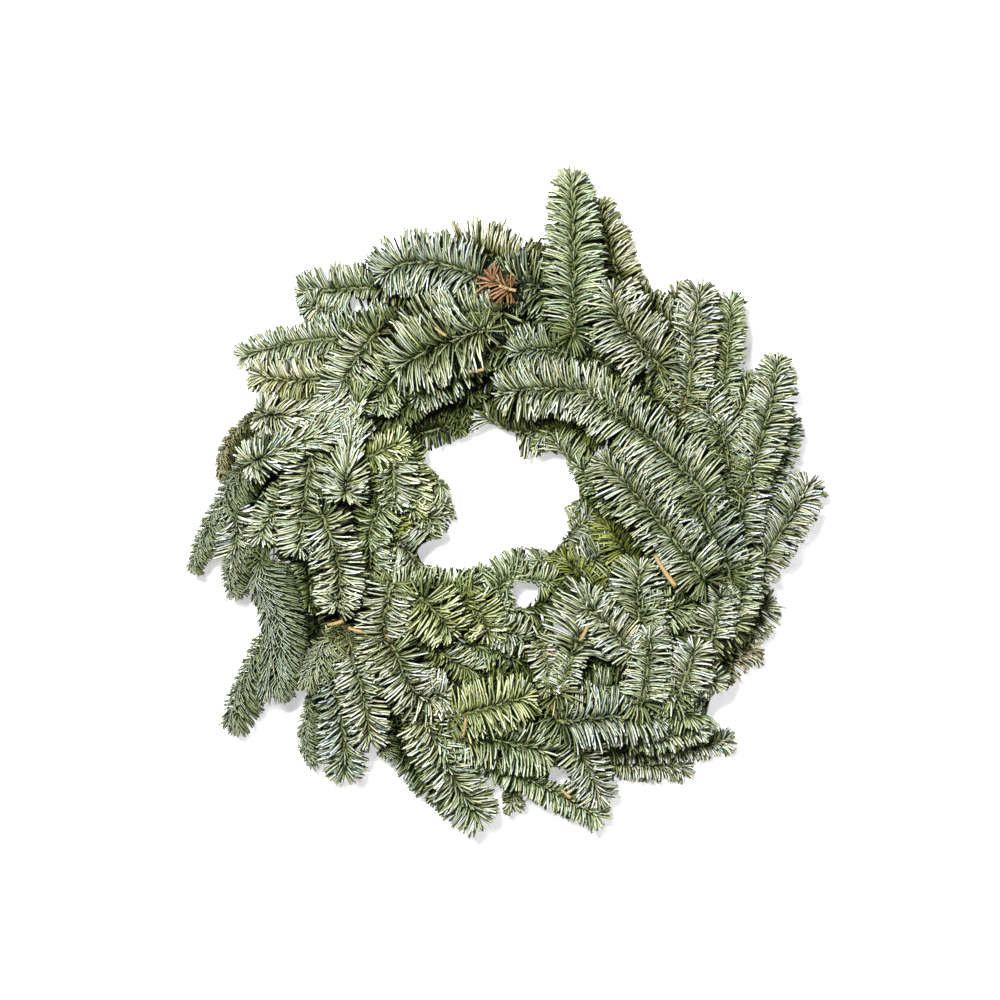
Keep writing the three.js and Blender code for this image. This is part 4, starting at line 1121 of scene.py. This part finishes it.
def bark_material():
    tree, finish = new_material("fir_bark", (0.16, 0.1, 0.05))
    noise = tree.noise(Scale=300.0, Detail=5.0, Roughness=0.65)
    ramp = tree.add("ShaderNodeValToRGB", {"Fac": noise})
    for stop, position, color in zip(ramp.color_ramp.elements, (0.3, 0.7), ((66, 52, 34), (128, 106, 70))):
        stop.position, stop.color = position, opaque(color)
    green = tree.attribute("cover", "Fac")
    return finish({
        "Base Color": tree.mix(green, ramp.outputs["Color"], opaque((90, 102, 60))),
        "Roughness": tree.spread(noise, 0.6, 0.9),
        "Normal": tree.bump(noise, 0.6, 0.0004),
    })


def wood_material():
    tree, finish = new_material("cut_wood", (0.6, 0.42, 0.2))
    noise = tree.noise(Scale=900.0, Detail=3.0)
    return finish({
        "Base Color": tree.mix(noise, opaque((104, 84, 50)), opaque((166, 142, 96))),
        "Roughness": 0.8,
    })


def metal_material(name, dark, light, metallic, rough):
    tree, finish = new_material(name, linear(light))
    noise = tree.noise(Scale=260.0, Detail=4.0)
    return finish({
        "Base Color": tree.mix(noise, opaque(dark), opaque(light)),
        "Roughness": tree.spread(noise, *rough),
        "Metallic": metallic,
    })


NEEDLES, BARK, WOOD = needle_material(), bark_material(), wood_material()
STEEL = metal_material("ring_steel", (46, 48, 44), (96, 98, 92), 0.9, (0.4, 0.65))
COATED = metal_material("green_coated_wire", (36, 64, 38), (66, 98, 62), 0.2, (0.35, 0.55))

# ---------------------------------------------------------------- pieces

CANOPY_CELL, CANOPY_MARGIN = 4.0, 3
SHADE_START = 9.0                   # depth in the foliage where its painted shade starts
SHADE_RANGE = 24.0                  # and the depth over which it deepens
DEEP_SHADE = 0.14                   # brightness of the painted shade far below the top
RIM_FILLED = 0.82                   # share of the cells round a point that are filled, at the rim
RIM_FADE = 0.4
# The tips at the outline are tanned: the colours of leaf and bloom there, and how much they show.
RIM_TAN = np.array([*linear((144, 128, 78)), *linear((212, 196, 148))])
RIM_SHARE = 0.45
RIM_BRIGHT = 0.6                    # brightness of a bloom that turns just that tan
RIM_LIGHT = 0.8                     # how much of the painted shade the rim is spared
TIP_GREEN = 0.8                     # how green the bark of a shoot is
STEM_WAVE, STEM_RIPPLE = 0.04, 0.9  # share of its radius that a stem waves by, and how fast
STEM_PITCH = 4
CUT_WAVE, CUT_RIPPLE = 0.08, 1.7    # the same for a cut twig
CUT_GROWTH = (0.9, 1.05)            # its radius at both ends, against the one given
CUT_BOW = 0.03                      # how far it bows sideways, against its length
CUT_START, CUT_MIDDLE, CUT_END = 4, 1.5, 1        # depths under the foliage's top
STEM_SIDES, TWIG_SIDES, TWIG_RINGS = 8, 10, 9
MAP_MARGIN, MAP_SHAPE = 0.06, 1.6
SEED = 907


def make_mesh(name, verts, quads, tris, materials):
    """A mesh of quads first, then triangles, smooth shaded."""
    mesh = bpy.data.meshes.new(name)
    verts = np.asarray(verts) + SHIFT
    verts = np.column_stack([verts[:, :2], np.maximum(verts[:, 2], 0)]) * MM
    loops = np.concatenate([np.asarray(faces, int).reshape(-1) for faces in (quads, tris)])
    totals = np.concatenate([np.full(len(quads), 4), np.full(len(tris), 3)])
    starts = np.concatenate([[0], np.cumsum(totals)[:-1]])
    mesh.vertices.add(len(verts))
    mesh.vertices.foreach_set("co", verts.astype(np.float32).ravel())
    mesh.loops.add(len(loops))
    mesh.loops.foreach_set("vertex_index", loops.astype(np.int32))
    mesh.polygons.add(len(totals))
    mesh.polygons.foreach_set("loop_start", starts.astype(np.int32))
    for material in materials:
        mesh.materials.append(material)
    mesh.update(calc_edges=True)
    mesh.polygons.foreach_set("use_smooth", np.ones(len(totals), bool))
    return mesh


def place_piece(mesh, node, slot):
    piece = bpy.data.objects.new(mesh.name, mesh)
    bpy.context.scene.collection.objects.link(piece)
    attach(piece, "root")
    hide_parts(node)


class Canopy:
    """The height of the foliage's top over the face, which tells how deep a point lies in it."""

    def __init__(self, points):
        self.low = points[:, :2].min(0) - CANOPY_MARGIN * CANOPY_CELL
        cells = self.cells(points)
        top = np.zeros(cells.max(0) + CANOPY_MARGIN + 1)
        np.maximum.at(top, (cells[:, 0], cells[:, 1]), points[:, 2])
        self.filled = (top > 0).astype(float)
        self.top = self.around(top).max(0)
        for _ in range(2):
            self.filled = self.around(self.filled).mean(0)
            self.top = self.around(self.top).mean(0)

    def cells(self, points):
        return ((points[:, :2] - self.low) / CANOPY_CELL).astype(int)

    def around(self, values):
        return np.stack([np.roll(values, (i, j), axis=(0, 1)) for i in (-1, 0, 1) for j in (-1, 0, 1)])

    def at(self, values, points):
        cells = self.cells(points)
        return values[cells[:, 0], cells[:, 1]]

    def shade(self, points):
        """The painted shade: 1 at the top of the foliage, and DEEP_SHADE far below it."""
        depth = self.at(self.top, points) - points[:, 2]
        share = np.clip((depth - SHADE_START) / SHADE_RANGE, 0, 1)
        return 1 - (1 - DEEP_SHADE) * share * share * (3 - 2 * share)

    def rim(self, points):
        """1 at the outline of the foliage, and 0 inside it."""
        return np.clip((RIM_FILLED - self.at(self.filled, points)) / RIM_FADE, 0, 1)

    def height(self, x, y):
        return self.at(self.top, np.array([[x, y]]))[0]


# Twigs cut off short that show their wood on the face: the cutting, both ends in pixels, and radius.
CUT_TWIGS = (
    ("cutting_17", (499, 287), (516, 292), 1.2),
    ("cutting_06", (470, 373), (484, 370), 1.1),
    ("cutting_06", (436, 330), (447, 338), 1.0),
    ("cutting_10", (329, 624), (344, 620), 1.3),
    ("cutting_33", (349, 627), (363, 631), 1.2),
    ("cutting_13", (463, 735), (466, 716), 0.9),
    ("cutting_30", (579, 640), (587, 625), 1.3),
    ("cutting_46", (562, 791), (571, 799), 1.2),
    ("cutting_01", (654, 555), (674, 585), 1.7),
)


def cut_twig(start, end, radius, canopy):
    """A tube of wood, from inside the foliage to just under its top."""
    x0, y0 = face_xy(*start)
    x1, y1 = face_xy(*end)
    low, high = canopy.height(x0, y0) - CUT_START, canopy.height(x1, y1)
    middle = (x0 + x1) / 2 + (y1 - y0) * CUT_BOW, (y0 + y1) / 2 - (x1 - x0) * CUT_BOW
    points = np.array([(x0, y0, low), (*middle, high - CUT_MIDDLE), (x1, y1, high - CUT_END)])
    line = Line(bend(points, TWIG_RINGS - 1))
    s = np.linspace(0, line.length, TWIG_RINGS)
    r = radius * (1 + CUT_WAVE * np.sin(s * CUT_RIPPLE)) * np.linspace(*CUT_GROWTH, TWIG_RINGS)
    return *tube(line, r, TWIG_SIDES, s), np.zeros(TWIG_RINGS * TWIG_SIDES), 2


def stem_tube(bare, leafy, radius):
    """A tube of bark along a limb, green towards its tip."""
    line = Line(np.vstack([bare, leafy]))
    bare_length = Line(np.vstack([bare, leafy[:1]])).length
    s = np.linspace(0, line.length, max(12, int(line.length / STEM_PITCH)))
    r = stem_radii(s, radius, bare_length, line.length)
    r = np.append(r[:-1] * (1 + STEM_WAVE * np.sin(s[:-1] * STEM_RIPPLE)), 0.5)
    green = np.clip((s - bare_length + LEAD_IN) / LEAD_IN, 0, 1)
    return *tube(line, r, STEM_SIDES, s), np.repeat(green, STEM_SIDES), 1


def lay_maps(mesh, parts, stem_quads, stem_tris):
    """The map of each needle alone, and the map of the whole piece with a cell for each needle."""
    n = parts["count"]
    columns = int(math.ceil(math.sqrt(n * MAP_SHAPE)))
    rows = int(math.ceil(n / columns)) + 1
    # The stems' faces lie side by side along the last row.
    faces = stem_quads + stem_tris
    corners = np.array([(0.1, -0.4), (0.9, -0.4), (0.9, 0.4), (0.1, 0.4)])
    u = (np.arange(faces) / faces)[:, None] + corners[None, :, 0] / faces
    v = np.broadcast_to((rows - 0.5) / rows + corners[None, :, 1] / rows, u.shape)
    strip = np.stack([u, v], axis=-1)

    alone, grid = [], []
    for kind, sides, rest in (("quad", 4, strip[:stem_quads]), ("tri", 3, strip[stem_quads:, :3])):
        uv, cells = parts[kind + "_uv"], parts[kind + "_cell"]
        place = np.stack([cells % columns, cells // columns], axis=1)[:, None]
        placed = (place + MAP_MARGIN + uv * (1 - 2 * MAP_MARGIN)) * np.array([1 / columns, 1 / rows])
        alone += [uv.reshape(-1, 2), np.zeros((len(rest) * sides, 2))]
        grid += [placed.reshape(-1, 2), rest.reshape(-1, 2)]
    for title, places in (("needle", alone), ("OFBake", grid)):
        layer = mesh.uv_layers.new(name=title)
        layer.data.foreach_set("uv", np.concatenate(places).astype(np.float32).ravel())


def cutting_piece(name, limbs, parts, canopy):
    """The needles, stems and cut twigs of a cutting in one mesh."""
    tubes = [stem_tube(bare, leafy, radius) for bare, leafy, radius, _ in limbs]
    tubes += [cut_twig(*twig, canopy) for owner, *twig in CUT_TWIGS if owner == name]
    verts, tone, quads, tris = ([parts[k]] for k in ("verts", "tone", "quads", "tris"))
    slots_of_quads, slots_of_tris = [np.zeros(len(quads[0]))], [np.zeros(len(tris[0]))]
    count = len(verts[0])
    for v, q, t, green, slot in tubes:
        tint = np.zeros((len(v), tone[0].shape[1]))
        tint[:len(green), 6] = green * TIP_GREEN
        verts.append(v)
        tone.append(tint)
        quads.append(np.array(q) + count)
        tris.append(np.array(t) + count)
        slots_of_quads.append(np.full(len(q), slot))
        slots_of_tris.append(np.full(len(t), slot))
        count += len(v)
    verts, tone = np.vstack(verts), np.vstack(tone)
    rim = canopy.rim(verts)[:, None]
    tan = RIM_SHARE * rim
    bright = tone[:, 3:6].mean(1, keepdims=True)
    tone[:, :6] = tone[:, :6] * (1 - tan) + RIM_TAN * tan * bright / RIM_BRIGHT
    # Painted shade deep in the foliage, spared at the rim, with painted light near the ground.
    shade = np.maximum(canopy.shade(verts), GROUND_LIGHT * near_ground(verts[:, 2]))[:, None]
    tone[:, :6] *= (shade + (1 - shade) * RIM_LIGHT * rim) ** np.tile(SHADE_POWERS, 2)
    mesh = make_mesh("fir_" + name, verts, np.vstack(quads), np.vstack(tris), [NEEDLES, BARK, WOOD])
    index = np.concatenate(slots_of_quads + slots_of_tris).astype(np.int32)
    mesh.polygons.foreach_set("material_index", index)
    alpha = np.ones((len(tone), 1))
    for title, kind, key, values in (
            ("leaf", "FLOAT_COLOR", "color", np.hstack([tone[:, 0:3], alpha])),
            ("bloom", "FLOAT_COLOR", "color", np.hstack([tone[:, 3:6], alpha])),
            ("cover", "FLOAT", "value", tone[:, 6])):
        attribute = mesh.attributes.new(title, kind, "POINT")
        attribute.data.foreach_set(key, values.astype(np.float32).ravel())
    lay_maps(mesh, parts, sum(map(len, quads[1:])), sum(map(len, tris[1:])))
    return mesh


slots = {part["node"]: part["material_slot"] for part in frame["record"]["subparts"]}
grown = {
    name: cutting_needles(limbs, np.random.default_rng(SEED + number))
    for number, (name, limbs) in enumerate(sorted(seats.items()))
}
canopy = Canopy(np.vstack([parts["verts"] for parts in grown.values()]))
for name, parts in grown.items():
    place_piece(cutting_piece(name, seats[name], parts, canopy), name, slots[name])


def closed_tube(name, points, radius, sides, material):
    """A ring-shaped tube through points that close on themselves."""
    ahead = unit(np.roll(points, -1, axis=0) - np.roll(points, 1, axis=0))
    across = unit(np.cross(ahead, points * (1, 1, 0)))
    verts = tube_rings(points, across, np.cross(ahead, across), radius, sides)
    return make_mesh(name, verts, tube_quads(len(points), sides, True), (), [material])


CIRCLE_STEPS, CIRCLE_SIDES = 240, 16
COIL_STEPS, COIL_SIDES = 36, 8
circle = np.array([beside_ring(2 * math.pi * i / CIRCLE_STEPS, 0, 0) for i in range(CIRCLE_STEPS)])
ring = closed_tube("steel_ring", circle, RING_WIRE / 2, CIRCLE_SIDES, STEEL)
place_piece(ring, "wire_ring", "ring_steel")
coil = np.array([winding_point(i, COIL_STEPS) for i in range(BINDING_TURNS * COIL_STEPS)])
wire = closed_tube("binding_coil", coil, BINDING_WIRE / 2, COIL_SIDES, COATED)
place_piece(wire, "binding_wire", "binding_wire")

# ---------------------------------------------------------------- floor, light and camera

CAMERA_DISTANCE = 3.0
SENSOR_WIDTH = 36
FOCUS_HEIGHT = 0.055
VIEW_WIDTH = 1000 * MM_PER_PIXEL * MM
FLOOR_HALF = 6.0
ROOM_LIGHT = 0.07
WALL_LIGHT = 0.56
WALL_TOP = (0.1, 0.2)               # sines of the heights over the horizon where the walls fade out


def make_floor():
    mesh = bpy.data.meshes.new("studio_floor")
    corners = [(x * FLOOR_HALF, y * FLOOR_HALF, 0) for x, y in ((-1, -1), (1, -1), (1, 1), (-1, 1))]
    mesh.from_pydata(corners, [], [(0, 1, 2, 3)])
    floor = bpy.data.objects.new("studio_floor", mesh)
    bpy.context.scene.collection.objects.link(floor)
    tree, finish = new_material("studio_paper", (0.9, 0.9, 0.9))
    noise = tree.add("ShaderNodeTexNoise", {"Scale": 2.0, "Detail": 2.0}).outputs["Fac"]
    mesh.materials.append(finish({
        "Base Color": tree.mix(noise, (0.9, 0.9, 0.9, 1), (0.92, 0.92, 0.92, 1)),
        "Roughness": 0.9,
        "Emission Color": (1, 1, 1, 1),
        "Emission Strength": 0.5,
    }))


def make_light(name, place, size, watts):
    """A round lamp that looks at the middle of the floor."""
    light = bpy.data.lights.new(name, "AREA")
    light.shape = "DISK"
    light.size = size
    light.energy = watts
    lamp = bpy.data.objects.new(name, light)
    lamp.location = place
    lamp.rotation_euler = (-Vector(place)).to_track_quat("-Z", "Y").to_euler()
    bpy.context.scene.collection.objects.link(lamp)


def make_world():
    """A dim studio whose walls are as pale as the far floor where they meet it."""
    world = bpy.data.worlds.new("studio")
    world.use_nodes = True
    tree = Nodes(world.node_tree)
    height = tree.parts(tree.add("ShaderNodeTexCoord", {}).outputs["Generated"])[2]
    background = tree.nodes["Background"].inputs
    tree.put(background["Color"], (1, 1, 1, 1))
    light = tree.spread(height, WALL_LIGHT, ROOM_LIGHT, *WALL_TOP, kind="SMOOTHSTEP")
    tree.put(background["Strength"], light)
    bpy.context.scene.world = world


def make_camera():
    data = bpy.data.cameras.new("camera")
    data.sensor_width = SENSOR_WIDTH
    data.lens = SENSOR_WIDTH * CAMERA_DISTANCE / VIEW_WIDTH
    data.clip_end = 50
    camera = bpy.data.objects.new("camera", data)
    camera.location = (SHIFT[0] * MM, SHIFT[1] * MM, FOCUS_HEIGHT + CAMERA_DISTANCE)
    bpy.context.scene.collection.objects.link(camera)
    bpy.context.scene.camera = camera


make_floor()
make_light("key", (-0.38, 0.5, 2.2), 0.5, 147)
make_light("fill", (1.0, -0.7, 2.0), 1.4, 14)
make_world()
make_camera()
bpy.context.scene.view_settings.view_transform = "Standard"
